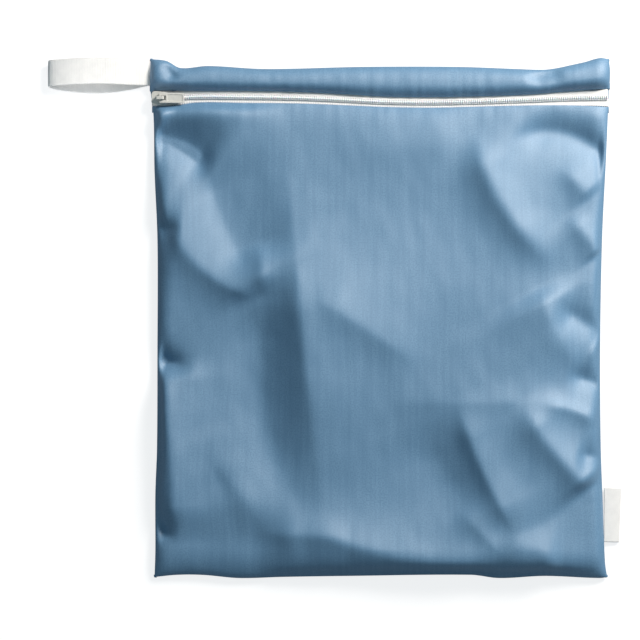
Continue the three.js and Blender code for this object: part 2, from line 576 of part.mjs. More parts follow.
// Both layers of the webbing loop and its turn, as one strap with two ends at the seam.
function webbingLoop() {
  const seamX = placeX(0) - GAP;
  const middleY = placeY(0) - LOOP_FROM_TOP - WEBBING_WIDTH / 2;
  const path = new THREE.CatmullRomCurve3(LOOP_PATH.map((row) => new THREE.Vector3(
    seamX - row.out * LOOP_REACH,
    middleY - row.slip * WEBBING_WIDTH,
    row.up * LOOP_HEIGHT,
  )), false, "centripetal");
  const stations = 34;
  const upper = [[], []];
  const lower = [[], []];
  for (let k = 0; k <= stations; k += 1) {
    const t = k / stations;
    const point = path.getPointAt(t);
    const tangent = path.getTangentAt(t);
    const ends = k === 0 || k === stations;
    const out = new THREE.Vector3(tangent.z, 0, -tangent.x).normalize();
    if (ends) out.set(0, 0, k === 0 ? 1 : -1);
    out.multiplyScalar(WEBBING / 2);
    [-1, 1].forEach((side, j) => {
      const edge = point.clone();
      edge.y += (side * WEBBING_WIDTH) / 2;
      upper[j].push(edge.clone().add(out));
      lower[j].push(edge.clone().sub(out));
    });
  }
  return wallGeometry(upper, lower);
}

// The folded tape in the right side seam: a rounded slip that droops a little outwards.
function sideLabel() {
  const half = LABEL_THICKNESS / 2;
  const section = new THREE.Shape();
  section.moveTo(0, half);
  section.quadraticCurveTo(LABEL_OUT / 2, half, LABEL_OUT - half, half - LABEL_DROOP);
  section.quadraticCurveTo(LABEL_OUT, -LABEL_DROOP, LABEL_OUT - half, -half - LABEL_DROOP);
  section.quadraticCurveTo(LABEL_OUT / 2, -half, 0, -half);
  section.closePath();
  return extruded(section, LABEL_LENGTH).translate(0, 0, -LABEL_LENGTH / 2).rotateX(Math.PI / 2);
}

const clothBlue = new THREE.Color("#7ba0c0");
const white = new THREE.Color("#ecebe8");
const cream = new THREE.Color("#e3dfd2");

function addMesh(parent, name, geometry, colour, roughness, metalness = 0) {
  const material = new THREE.MeshStandardMaterial({ color: colour, roughness, metalness });
  const mesh = new THREE.Mesh(geometry, material);
  mesh.name = name;
  parent.add(mesh);
  return mesh;
}

const bag = new THREE.Group();
addMesh(bag, "front_panel", frontPanel(), clothBlue, 0.7);
addMesh(bag, "top_band", topBand(), clothBlue, 0.7);
addMesh(bag, "back_panel", backPanel(), clothBlue, 0.7);
addMesh(bag, "zip_tape_upper", zipTape(1), white, 0.8);
addMesh(bag, "zip_tape_lower", zipTape(-1), white, 0.8);
addMesh(bag, "zip_coil", zipCoil(), white, 0.5);

const slider = new THREE.Group();
slider.position.set(sliderX, sliderY, zipTop(sliderX));
addMesh(slider, "slider_body", sliderBody(), cream, 0.35, 0.3);
const tab = addMesh(slider, "pull_tab", pullTab(), cream, 0.35, 0.3);
tab.position.z = AXIS_OVER_TAPE;
tab.rotation.y = TAB_DROOP;
bag.add(slider);

addMesh(bag, "webbing_loop", webbingLoop(), white, 0.85);
const labelY = placeY(0.88);
const seamAtLabel = [-0.5, 0, 0.5].map((share) => rightEdge(labelY + share * LABEL_LENGTH));
const label = addMesh(bag, "side_label", sideLabel(), white, 0.8);
label.position.set(Math.max(...seamAtLabel) + GAP, labelY, SEAM_TOP);

export default bag;
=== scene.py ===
# %% [markdown]
# A cloth wet bag lies flat on a pale table with its zip side up, seen from straight above.
# The measured model already holds every piece at its real size, but its cloth is coarse and
# plain. This lesson dresses that model: fine cloth with its folds, a woven zip, a cast slider,
# ribbed webbing and a folded label. Nothing here moves or resizes the measured pieces.

# %% Load the measured model
from collections import namedtuple

import bmesh
import bpy
import numpy as np
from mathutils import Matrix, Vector, noise


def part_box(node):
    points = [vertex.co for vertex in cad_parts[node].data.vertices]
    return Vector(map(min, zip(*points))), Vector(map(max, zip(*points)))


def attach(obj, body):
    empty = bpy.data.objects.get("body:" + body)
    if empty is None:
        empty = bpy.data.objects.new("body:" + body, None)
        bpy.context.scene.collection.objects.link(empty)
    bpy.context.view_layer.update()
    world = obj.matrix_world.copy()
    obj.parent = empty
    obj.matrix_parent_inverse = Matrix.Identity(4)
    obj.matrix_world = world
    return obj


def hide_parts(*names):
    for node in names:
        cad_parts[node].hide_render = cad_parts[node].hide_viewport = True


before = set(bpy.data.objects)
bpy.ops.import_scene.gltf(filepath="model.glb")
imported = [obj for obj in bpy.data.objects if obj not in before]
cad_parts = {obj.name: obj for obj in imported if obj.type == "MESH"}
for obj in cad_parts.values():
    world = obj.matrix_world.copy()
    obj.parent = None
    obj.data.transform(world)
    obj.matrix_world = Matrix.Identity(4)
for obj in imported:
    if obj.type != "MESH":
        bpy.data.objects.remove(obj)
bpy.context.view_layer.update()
MM = 0.001

# %% [markdown]
# The camera looks straight down, as the picture was taken. A long lens from well above keeps
# the sides of the bag almost parallel. The lens length follows from three plain facts: how far
# away the camera is, how wide the sensor is and how much of the table the picture shows.

# %% Set the camera
SENSOR_WIDTH = 36.0
CAMERA_HEIGHT = 1600 * MM
CLOTH_LEVEL = 5 * MM
VIEW_WIDTH = 434.8 * MM
VIEW_CENTRE = (-40.8 * MM, -1.7 * MM)


def add_object(name, data):
    """An object in the scene that holds a camera, a lamp or a mesh."""
    made = bpy.data.objects.new(name, data)
    bpy.context.scene.collection.objects.link(made)
    return made


camera_data = bpy.data.cameras.new("camera")
camera_data.sensor_width = SENSOR_WIDTH
camera_data.lens = SENSOR_WIDTH * (CAMERA_HEIGHT - CLOTH_LEVEL) / VIEW_WIDTH
camera = add_object("camera", camera_data)
camera.location = (*VIEW_CENTRE, CAMERA_HEIGHT)
bpy.context.scene.camera = camera
print("lens in mm:", round(camera_data.lens, 1))

# %% [markdown]
# One broad, slightly warm light from the upper right does the modelling. Folds that face it
# turn pale and folds that face away turn deep blue, so its height above the table sets how
# strong the folds look. A picture of a studio could light the bag too, but with one lamp it is
# plain which folds face it. A weak, bluish light from all round keeps the shadows open, and
# the camera alone sees a pale backdrop in its place.

# %% Light the table
KEY_TURN = np.radians(48)
KEY_HEIGHT = np.radians(34)
KEY_DISTANCE = 1.5
KEY_WIDTH = 0.5
KEY_POWER = 33.3
KEY_COLOUR = (1.0, 0.955, 0.9)
FILL_COLOUR = (0.6, 0.86, 1.0, 1.0)
FILL_STRENGTH = 0.27
BACKGROUND_COLOUR = (0.93, 0.935, 0.94, 1.0)

key_data = bpy.data.lights.new("key_light", "AREA")
key_data.size = KEY_WIDTH
key_data.energy = KEY_POWER
key_data.color = KEY_COLOUR
key = add_object("key_light", key_data)
key_direction = Vector((np.cos(KEY_TURN) * np.cos(KEY_HEIGHT),
                        np.sin(KEY_TURN) * np.cos(KEY_HEIGHT),
                        np.sin(KEY_HEIGHT)))
key.location = key_direction * KEY_DISTANCE
key.rotation_euler = key_direction.to_track_quat("Z", "Y").to_euler()

world = bpy.data.worlds.new("studio")
bpy.context.scene.world = world
world.use_nodes = True
sky = world.node_tree
sky.nodes.clear()
fill = sky.nodes.new("ShaderNodeBackground")
fill.inputs["Color"].default_value = FILL_COLOUR
fill.inputs["Strength"].default_value = FILL_STRENGTH
backdrop = sky.nodes.new("ShaderNodeBackground")
backdrop.inputs["Color"].default_value = BACKGROUND_COLOUR
either = sky.nodes.new("ShaderNodeMixShader")
sky.links.new(sky.nodes.new("ShaderNodeLightPath").outputs["Is Camera Ray"], either.inputs[0])
sky.links.new(fill.outputs[0], either.inputs[1])
sky.links.new(backdrop.outputs[0], either.inputs[2])
sky.links.new(either.outputs[0], sky.nodes.new("ShaderNodeOutputWorld").inputs["Surface"])
bpy.context.scene.view_settings.view_transform = "Standard"
print("key light stands", KEY_DISTANCE, "m away")

# %% [markdown]
# Every finish below is a small tree of nodes. A few helpers keep those trees short. They add a
# node and fill its sockets, do sums on values, blend two colours, make noise, turn a value
# into a share, and let a height show as bumps.

# %% Helpers for node trees
def feed(tree, socket, value):
    """Links another node's output to a socket, or writes a plain value in it."""
    if isinstance(value, bpy.types.NodeSocket):
        tree.links.new(value, socket)
    else:
        socket.default_value = value


def add_node(tree, kind, settings=None, **inputs):
    """Adds a node. An input is a value or another node's output; _ stands for a space."""
    made = tree.nodes.new(kind)
    for name, value in (settings or {}).items():
        setattr(made, name, value)
    for name, value in inputs.items():
        feed(tree, made.inputs[name.replace("_", " ")], value)
    return made


def sum_of(tree, operation, *values):
    """The output of a Math node."""
    made = tree.nodes.new("ShaderNodeMath")
    made.operation = operation
    for socket, value in zip(made.inputs, values):
        feed(tree, socket, value)
    return made.outputs[0]


def blend_colours(tree, share, first, second):
    """The colour output of a Mix node: share 0 gives the first colour and 1 the second."""
    made = tree.nodes.new("ShaderNodeMix")
    made.data_type = "RGBA"
    # A Mix node keeps its two colours in sockets 6 and 7, after those for numbers and vectors.
    feed(tree, made.inputs[0], share)
    feed(tree, made.inputs[6], first)
    feed(tree, made.inputs[7], second)
    return made.outputs[2]


def noise_of(tree, place, scale, detail):
    """The output of a Noise Texture node."""
    return add_node(tree, "ShaderNodeTexNoise", Vector=place, Scale=scale, Detail=detail).outputs[0]


def share_of(tree, value, low, high, most=1.0):
    """How far a value has come from low to high, from 0 to most."""
    return add_node(tree, "ShaderNodeMapRange", Value=value, From_Min=low, From_Max=high,
                    To_Max=most).outputs[0]


# %% Helpers for finishes
def colour_and_bump(tree, shader, colour, height, strength, distance):
    """Gives a shader its colour, and lets a height too fine to model show in the light."""
    bump = add_node(tree, "ShaderNodeBump", Height=height, Strength=strength, Distance=distance)
    tree.links.new(colour, shader.inputs["Base Color"])
    tree.links.new(bump.outputs[0], shader.inputs["Normal"])


def new_finish(name, **surface):
    """A material with one Principled shader, whose plain numbers are set on its own sockets."""
    material = bpy.data.materials.new(name)
    material.use_nodes = True
    tree = material.node_tree
    tree.nodes.clear()
    shader = add_node(tree, "ShaderNodeBsdfPrincipled", **surface)
    output = tree.nodes.new("ShaderNodeOutputMaterial")
    tree.links.new(shader.outputs[0], output.inputs["Surface"])
    return material, tree, shader


# %% [markdown]
# A photographer would stand a small white card beside the hanging loop, so that its lower
# layer is not lost in the shadow of the upper one. Here a weak lamp with a narrow spread does
# that, and the camera does not see the lamp itself.

# %% Add a card light for the loop
CARD_PLACE = Vector((-0.2, 0.06, 0.05))
CARD_AIM = Vector((-0.197, 0.157, 0.003))
CARD_WIDTH = 0.05
CARD_POWER = 0.011
CARD_SPREAD = np.radians(50)

card_data = bpy.data.lights.new("card_light", "AREA")
card_data.size = CARD_WIDTH
card_data.energy = CARD_POWER
card_data.spread = CARD_SPREAD
card = add_object("card_light", card_data)
card.location = CARD_PLACE
card.rotation_euler = (CARD_AIM - CARD_PLACE).to_track_quat("-Z", "Y").to_euler()
card.visible_camera = False
print("card light stands", round((CARD_AIM - CARD_PLACE).length, 3), "m from the loop")

# %% [markdown]
# The table top is a wide pale sheet that belongs to the stage and not to the bag. A little
# light of its own, which only the camera sees, lifts it to white while the bag still leaves a
# soft shadow on it.

# %% Lay the table
FLOOR_SIZE = 12.0
FLOOR_COLOUR = (0.34, 0.34, 0.345, 1.0)
FLOOR_GLOW = 0.8

bpy.ops.mesh.primitive_plane_add(size=FLOOR_SIZE, location=(0, 0, 0))
floor = bpy.context.object
floor.name = "floor"
floor_finish, floor_tree, floor_shader = new_finish("floor_paint", Base_Color=FLOOR_COLOUR,
                                                    Roughness=0.9, Specular_IOR_Level=0.0)
floor_shader.inputs["Emission Color"].default_value = (1, 1, 1, 1)
camera_only = floor_tree.nodes.new("ShaderNodeLightPath").outputs["Is Camera Ray"]
floor_tree.links.new(sum_of(floor_tree, "MULTIPLY", camera_only, FLOOR_GLOW),
                     floor_shader.inputs["Emission Strength"])
floor.data.materials.append(floor_finish)
print("table laid,", FLOOR_SIZE, "m wide")

# %% [markdown]
# The bag is drawn from a few sizes and some short tables. Each table row is a place that was
# read off, written as a share of a named size, so the whole form follows when a size
# changes. A smooth curve runs through the rows.

# %% Sizes and edges of the bag
BAG_WIDTH = 313 * MM
BAG_HEIGHT = 353 * MM
HEM = 1.2 * MM
GAP = 0.3 * MM
EDGE_WANDER = 8 * MM


def table(columns, *lines):
    """Rows with named columns."""
    Row = namedtuple("Row", columns)
    return [Row(*line) for line in lines]


LEFT_EDGE = table("along inset",
    (0, 0.06), (0.054, 0), (0.108, 0.3), (0.216, 0.39), (0.35, 0.64),
    (0.56, 0.64), (0.75, 0.6), (0.84, 0.46), (0.95, 0.46), (1, 0.39))
RIGHT_EDGE = table("along inset",
    (0, 0.12), (0.03, 0), (0.108, 0.18), (0.19, 0.34), (0.35, 0.68),
    (0.57, 0.85), (0.75, 0.79), (0.85, 0.63), (0.97, 0.43), (1, 0.25))
TOP_EDGE = table("along inset",
    (0, 0.09), (0.035, 0.25), (0.066, 0.85), (0.127, 0.68), (0.25, 0.94), (0.46, 0.76),
    (0.67, 0.76), (0.8, 0.94), (0.856, 1), (0.886, 0.85), (0.916, 0.6), (0.947, 0.34),
    (0.98, 0), (1, 0.12))
BOTTOM_EDGE = table("along inset",
    (0, 0), (0.05, 0.18), (0.11, 0.18), (0.19, -0.09), (0.28, 0), (0.43, 0.09),
    (0.7, 0.18), (0.76, -0.09), (0.86, 0.09), (0.98, -0.09), (1, 0))
ZIP_SLOT = table("along upper lower",
    (0, 0.0635, 0.0935), (0.04, 0.0635, 0.0932), (0.1, 0.0642, 0.0865), (0.2, 0.0645, 0.0875),
    (0.33, 0.067, 0.089), (0.42, 0.071, 0.092), (0.52, 0.076, 0.0955), (0.62, 0.0765, 0.0965),
    (0.72, 0.075, 0.0945), (0.82, 0.0715, 0.0925), (0.91, 0.0652, 0.092), (1, 0.0595, 0.0945))


print("zip slot is", round((ZIP_SLOT[0].lower - ZIP_SLOT[0].upper) * BAG_HEIGHT / MM, 1), "mm wide")

# %% Curves through the tables
def read_table(rows, column, along):
    """Smooth values between the rows of a table, for a whole array of places at once."""
    places = np.array([row.along for row in rows])
    values = np.array([getattr(row, column) for row in rows])
    before = np.maximum(np.arange(len(rows)) - 1, 0)
    after = np.minimum(np.arange(len(rows)) + 1, len(rows) - 1)
    slopes = (values[after] - values[before]) / (places[after] - places[before])
    place = np.clip(along, places[0], places[-1])
    i = np.clip(np.searchsorted(places, place) - 1, 0, len(rows) - 2)
    span = places[i + 1] - places[i]
    t = (place - places[i]) / span
    return ((2 * t**3 - 3 * t**2 + 1) * values[i] + (t**3 - 2 * t**2 + t) * slopes[i] * span
            + (3 * t**2 - 2 * t**3) * values[i + 1] + (t**3 - t**2) * slopes[i + 1] * span)


def across(x):
    return x / BAG_WIDTH + 0.5


def down(y):
    return 0.5 - y / BAG_HEIGHT


def left_edge(y):
    return -BAG_WIDTH / 2 + read_table(LEFT_EDGE, "inset", down(y)) * EDGE_WANDER


def right_edge(y):
    return BAG_WIDTH / 2 - read_table(RIGHT_EDGE, "inset", down(y)) * EDGE_WANDER


def top_edge(x):
    return BAG_HEIGHT / 2 - read_table(TOP_EDGE, "inset", across(x)) * EDGE_WANDER


def bottom_edge(x):
    return -BAG_HEIGHT / 2 + read_table(BOTTOM_EDGE, "inset", across(x)) * EDGE_WANDER


def zip_upper(x):
    return (0.5 - read_table(ZIP_SLOT, "upper", across(x))) * BAG_HEIGHT


def zip_lower(x):
    return (0.5 - read_table(ZIP_SLOT, "lower", across(x))) * BAG_HEIGHT


def zip_middle(x):
    return (zip_upper(x) + zip_lower(x)) / 2


print("bag is", BAG_WIDTH / MM, "by", BAG_HEIGHT / MM, "mm")

# %% [markdown]
# Folds give an empty bag its life. Each fold here is a ridge or a hollow on a bowed line, with
# its own height and its own reach to either side, because a real fold is steep on one side and
# gentle on the other. A simulation would give folds too, but not these ones, so they are
# placed one by one from the picture.

# %% Table of folds
FOLD_RISE = 12 * MM
FOLD_REACH = 30 * MM
FOLD_COLUMNS = "name from_x from_y to_x to_y bow rise left right crest grow fade"
FOLDS = table(FOLD_COLUMNS,
    ("zip shoulder", 0, 0.1, 0.31, 0.104, 0, 0.6, 0.17, 0.43, 0.1, 0.1, 0.6),
    ("corner hollow across", 0, 0.145, 0.135, 0.225, 0.2, -0.8, 0.6, 0.4, 0.12, 0.15, 0.3),
    ("corner hollow down", 0.122, 0.185, 0.228, 0.42, -0.12, -0.45, 1.2, 0.5, 0.12, 0.3, 0.25),
    ("long ridge", 0.29, 0.12, 0.385, 0.94, 0, 0.88, 2.2, 0.75, 0.06, 0.45, 0.4),
    ("long ridge, middle", 0.308, 0.36, 0.35, 0.75, 0, 0.34, 0.8, 0.45, 0.06, 0.35, 0.6),
    ("hollow beside the long ridge", 0.248, 0.455, 0.34, 0.9, -0.5, -0.45, 0.5, 0.65, 0.17, 0.2, 0.4),
    ("left slant", 0.025, 0.2, 0.234, 0.46, -0.7, 0.54, 0.95, 0.4, 0.08, 0.35, 0.12),
    ("branch of the left slant", 0.238, 0.35, 0.25, 0.462, 0, 0.3, 0.35, 0.25, 0.07, 0.4, 0.4),
    ("upper middle", 0.36, 0.19, 0.72, 0.15, 0, 0.24, 0.8, 0.6, 0.2, 0.5, 0.3),
    ("right fall", 0.8, 0.3, 0.8, 0.99, 0, 0.42, 1.6, 3, 0.4, 0.3, 0.05),
    ("upper right slant", 0.7, 0.14, 0.885, 0.405, -0.33, 0.66, 0.55, 0.42, 0.1, 0.25, 0.35),
    ("right knee", 0.84, 0.44, 0.94, 0.61, -0.15, 0.55, 0.7, 0.9, 0.05, 0.2, 0.55),
    ("middle slant", 0.345, 0.452, 0.6, 0.6, 0.04, 0.38, 0.8, 0.5, 0.07, 0.25, 0.4),
    ("cross ridge", 0.51, 0.664, 0.93, 0.662, 0.03, 0.33, 0.8, 0.55, 0.05, 0.4, 0.4),
    ("lower slant", 0.664, 0.652, 0.793, 0.912, -0.11, 0.6, 0.8, 0.32, 0.06, 0.3, 0.22),
    ("hollow beside the lower slant", 0.58, 0.7, 0.665, 0.89, 0, -0.24, 0.4, 0.9, 0.23, 0.4, 0.4),
    ("lower right slant", 0.798, 0.66, 0.952, 0.826, -0.11, 0.7, 0.5, 0.46, 0.08, 0.3, 0.12),
    ("right finger", 0.83, 0.664, 0.97, 0.7, 0.09, 0.27, 0.17, 0.25, 0.06, 0.4, 0.2),
    ("bottom roll, left", 0.225, 0.913, 0.435, 0.92, 0, 0.7, 0.7, 0.8, 0.05, 0.45, 0.42),
    ("bottom roll, middle", 0.345, 0.906, 0.77, 0.98, -0.2, 0.75, 0.7, 0.6, 0.06, 0.2, 0.3),
    ("bottom roll, right", 0.62, 0.965, 0.98, 0.985, 0, 0.35, 0.6, 0.3, 0.08, 0.4, 0.3),
    ("bottom slant", 0.665, 0.861, 0.775, 0.962, 0, 0.34, 0.8, 0.35, 0.06, 0.35, 0.3),
    ("bottom bump", 0.745, 0.952, 0.89, 0.983, 0.33, 0.42, 0.6, 0.45, 0.08, 0.3, 0.3),
    ("lower left corner", 0.09, 0.72, 0.272, 0.92, 0.05, 0.38, 0.8, 0.5, 0.1, 0.4, 0.3),
    ("lower left dimple", 0.112, 0.73, 0.18, 0.865, 0, -0.2, 0.5, 0.35, 0.08, 0.4, 0.4),
    ("lower left shoulder", 0.018, 0.585, 0.052, 0.93, 0.13, 0.6, 0.7, 0.3, 0.06, 0.12, 0.2),
    ("left pucker, high", -0.01, 0.324, 0.07, 0.331, 0, -0.55, 0.3, 0.45, 0.05, 0.05, 0.4),
    ("left pucker, middle", -0.01, 0.573, 0.1, 0.6, 0, -0.8, 0.25, 0.45, 0.04, 0.05, 0.7),
    ("left pucker, low", -0.01, 0.89, 0.06, 0.925, 0, -0.6, 0.35, 0.2, 0.04, 0.05, 0.5),
    ("right arc", 0.77, 0.162, 0.99, 0.19, 0.4, -0.6, 0.33, 0.42, 0.1, 0.4, 0.05),
    ("right rib, upper", 0.885, 0.202, 0.956, 0.27, 0, 0.25, 0.35, 0.25, 0.08, 0.5, 0.2),
    ("right rib, lower", 0.9, 0.3, 0.974, 0.375, 0, 0.3, 0.3, 0.3, 0.08, 0.4, 0.1),
    ("right pucker, high", 0.877, 0.47, 0.985, 0.53, -0.05, -0.45, 0.3, 0.35, 0.08, 0.4, 0.1),
    ("right pucker, middle", 0.9, 0.605, 0.985, 0.63, 0, -0.42, 0.3, 0.25, 0.05, 0.5, 0.1),
    ("right pucker, low", 0.92, 0.76, 0.99, 0.772, 0, -0.4, 0.25, 0.3, 0.04, 0.4, 0.1))
BAND_FOLDS = table(FOLD_COLUMNS,
    ("left pucker", 0.03, 0.01, 0.06, 0.05, 0, -0.25, 0.1, 0.15, 0.05, 0.3, 0.4),
    ("right crease", 0.81, 0.045, 0.9, 0.022, 0, -0.25, 0.1, 0.2, 0.05, 0.4, 0.3))
print(len(FOLDS), "folds on the panel and", len(BAND_FOLDS), "on the band")

# %% [markdown]
# The height of the cloth is a soft pillow whose sides roll down to the seams, plus the folds.
# Near the seams and the zip the folds die away, because there the cloth is held. The same sums
# shape the measured model, so the fine cloth lies where the coarse one does.

# %% Height of the cloth
CLOTH = 0.5 * MM
PANEL_HEIGHT = 11 * MM
BAND_HEIGHT = 12 * MM
SEAM_TOP = 2.95 * MM
SIDE_ROLL = 10 * MM
BOTTOM_ROLL = 20 * MM
ZIP_END_TOP = 5.0 * MM
ZIP_RISE = 1.5 * MM
CREST_SHARE = 0.62
FOLD_FALL = 1.2
LEAST_HEIGHT = 3.2 * MM


def smooth(start, end, value):
    t = np.clip((value - start) / (end - start), 0, 1)
    return t * t * (3 - 2 * t)


def roll(distance, width):
    """Height share of a rounded edge that is square to the floor at the rim."""
    return np.sqrt(1 - (1 - np.clip(distance / width, 0, 1)) ** 2)


def side_share(x, y):
    return roll(x - left_edge(y), SIDE_ROLL) * roll(right_edge(y) - x, SIDE_ROLL)


def in_from_sides(x, y, run):
    """A share that grows from 0 at the side seams to 1 at a distance of run from them."""
    return smooth(0, run, x - left_edge(y)) * smooth(0, run, right_edge(y) - x)


def zip_top(x):
    """Height of the zip's tape: level at both ends, and a little higher in between."""
    middle = zip_middle(x)
    from_end = np.minimum(x - left_edge(middle), right_edge(middle) - x)
    return ZIP_END_TOP + ZIP_RISE * smooth(BAG_WIDTH * 0.05, BAG_WIDTH * 0.2, from_end)


def fold_height(folds, x, y):
    """The sum of a table's folds at every place of two arrays."""
    total = np.zeros_like(x)
    for fold in folds:
        start_x = (fold.from_x - 0.5) * BAG_WIDTH
        start_y = (0.5 - fold.from_y) * BAG_HEIGHT
        run_x = (fold.to_x - fold.from_x) * BAG_WIDTH
        run_y = (fold.from_y - fold.to_y) * BAG_HEIGHT
        length = np.hypot(run_x, run_y)
        along = ((x - start_x) * run_x + (y - start_y) * run_y) / length**2
        bow = fold.bow * FOLD_REACH * 4 * along * (1 - along)
        aside = ((y - start_y) * run_x - (x - start_x) * run_y) / length - bow
        crest = fold.crest * FOLD_REACH
        reach = np.where(aside > 0, fold.left, fold.right) * FOLD_REACH
        distance = np.sqrt(aside**2 + crest**2) - crest
        shape = np.exp(-((distance / reach) ** FOLD_FALL))
        grown = smooth(-0.02, fold.grow, along) * smooth(1.02, 1 - fold.fade, along)
        total += fold.rise * FOLD_RISE * shape * grown
    return total


highest = max(fold.rise for fold in FOLDS) * FOLD_RISE
print("the highest fold rises by", round(highest / MM, 1), "mm")

# %% Height of the front and the band
def hem_top(x, y):
    return SEAM_TOP + (zip_top(x) + HEM + GAP - SEAM_TOP) * side_share(x, y)


def panel_top(x, y):
    """Height of the front cloth's outer face."""
    from_zip = np.maximum(zip_lower(x) - y, 0)
    share = side_share(x, y) * roll(y - bottom_edge(x), BOTTOM_ROLL)
    pillow = SEAM_TOP + (PANEL_HEIGHT - SEAM_TOP) * share
    rise = 1 - np.exp(-from_zip / (SIDE_ROLL * 0.8))
    shown = ((1 - np.exp(-from_zip / (SIDE_ROLL * 0.4))) * in_from_sides(x, y, SIDE_ROLL * 0.6)
             * smooth(0, BOTTOM_ROLL * 0.4, y - bottom_edge(x)))
    plain = hem_top(x, y) + (pillow - hem_top(x, y)) * rise
    return np.maximum(plain + fold_height(FOLDS, x, y) * shown, np.minimum(plain, LEAST_HEIGHT))


def down_band(x, y):
    """Share of the way from the top seam, 0, down to the zip, 1."""
    return np.clip((top_edge(x) - y) / (top_edge(x) - zip_upper(x)), 0, 1)


def band_top(x, y):
    """Height of the narrow band above the zip: a tight roll that drops to the hem."""
    t = down_band(x, y)
    crest = SEAM_TOP + (BAND_HEIGHT - SEAM_TOP) * side_share(x, y)
    folds = fold_height(BAND_FOLDS, x, y) * side_share(x, y)
    climb = roll(t, CREST_SHARE)
    turned = np.clip((t - CREST_SHARE) / (1 - CREST_SHARE), 0, 1) ** 2.2
    rising = SEAM_TOP + (crest - SEAM_TOP + folds) * climb
    falling = hem_top(x, y) + (crest - hem_top(x, y) + folds) * (1 - turned)
    return np.where(t < CREST_SHARE, rising, falling)


probe = np.linspace(-0.4, 0.4, 5) * BAG_WIDTH
print("heights along the middle, mm:", np.round(panel_top(probe, probe * 0) / MM, 1))

# %% [markdown]
# A sheet of cloth is a grid of points with a second grid just inside it, joined round the rim.
# Sculpting could shape one too, but a grid keeps every point where the sums above put it. Its
# map of the weave is measured along the grid's own lines, so the knit follows every fold as
# it does on real cloth, instead of being printed straight down on it.

# %% Make a sheet from a grid
def unit(vectors):
    """The same directions with a length of 1."""
    return vectors / np.maximum(np.linalg.norm(vectors, axis=-1, keepdims=True), 1e-12)


def grid_normals(points):
    """Unit normals of a grid whose rows run down and whose columns run to the right."""
    return unit(np.cross(np.gradient(points, axis=0), np.gradient(points, axis=1)))


def cloth_map(points):
    """Distance along the rows and columns of a grid, from its middle, in metres."""
    maps = []
    for axis in (1, 0):
        steps = np.linalg.norm(np.diff(points, axis=axis), axis=2)
        before = [(0, 0), (0, 0)]
        before[axis] = (1, 0)
        run = np.pad(np.cumsum(steps, axis=axis), before)
        middle = np.take(run, [run.shape[axis] // 2], axis=axis)
        maps.append(run - middle)
    return np.stack([maps[0], -maps[1]], axis=2)


# %% Close a sheet
def add_piece(name, vertices, faces, finish, weave):
    """A smooth mesh object at the origin, with its map of the weave in metres."""
    mesh = bpy.data.meshes.new(name)
    mesh.from_pydata(vertices.tolist(), [], faces)
    mesh.polygons.foreach_set("use_smooth", [True] * len(mesh.polygons))
    layer = mesh.uv_layers.new(name="cloth")
    corners = np.zeros(len(mesh.loops), int)
    mesh.loops.foreach_get("vertex_index", corners)
    layer.data.foreach_set("uv", weave[corners].astype(np.float32).ravel())
    mesh.materials.append(finish)
    mesh.validate()
    piece = add_object(name, mesh)
    triangles = sum(len(face.vertices) - 2 for face in mesh.polygons)
    print(name, "has", triangles, "triangles")
    return piece


def wall_faces(rows, columns):
    """Faces of two grids of the same shape, the first facing out, joined round the rim."""
    outer = np.arange(rows * columns).reshape(rows, columns)
    inner = outer + rows * columns
    faces = [np.stack([outer[:-1, :-1], outer[1:, :-1], outer[1:, 1:], outer[:-1, 1:]], 2),
             np.stack([inner[:-1, :-1], inner[:-1, 1:], inner[1:, 1:], inner[1:, :-1]], 2)]
    rim = np.concatenate([outer[:-1, 0], outer[-1, :-1], outer[:0:-1, -1], outer[0, :0:-1]])
    after = np.roll(rim, -1)
    under = rows * columns
    faces.append(np.stack([rim, rim + under, after + under, after], 1))
    return np.concatenate([part.reshape(-1, 4) for part in faces]).tolist()


def add_sheet(name, outer, thickness, finish):
    """A closed sheet of cloth under a grid of outer points."""
    inner = outer - grid_normals(outer) * thickness
    vertices = np.concatenate([outer.reshape(-1, 3), inner.reshape(-1, 3)])
    weave = cloth_map(outer).reshape(-1, 2)
    return add_piece(name, vertices, wall_faces(*outer.shape[:2]), finish,
                     np.concatenate([weave, weave]))


# %% [markdown]
# The outer cloth is a thin knit with a waterproof film behind it. Up close it shows fine
# upright ribs, and from further off only faint streaks, a fine mottle and a soft satin gleam.
# A picture of cloth would bring its own light and shade with it, so the finish is made from
# nodes alone: the colour from layers of noise, the ribs from bump, and the gleam from a broad,
# rough reflection.

# %% Finish of the knit cloth
CLOTH_BLUE = (0.11, 0.24, 0.39, 1.0)
CLOTH_PALE = (0.128, 0.264, 0.415, 1.0)
CLOTH_DEEP = (0.078, 0.195, 0.335, 1.0)
WALE = 0.72 * MM
COURSE = 0.55 * MM
FULL_TURN = 2 * np.pi


def thread_waves(tree, place, aside, along):
    """Two waves over a map in metres, whose spacings are those of the threads."""
    parts = add_node(tree, "ShaderNodeSeparateXYZ", Vector=place).outputs
    return [sum_of(tree, "SINE", sum_of(tree, "MULTIPLY", part, FULL_TURN / spacing))
            for part, spacing in ((parts["X"], aside), (parts["Y"], along))]


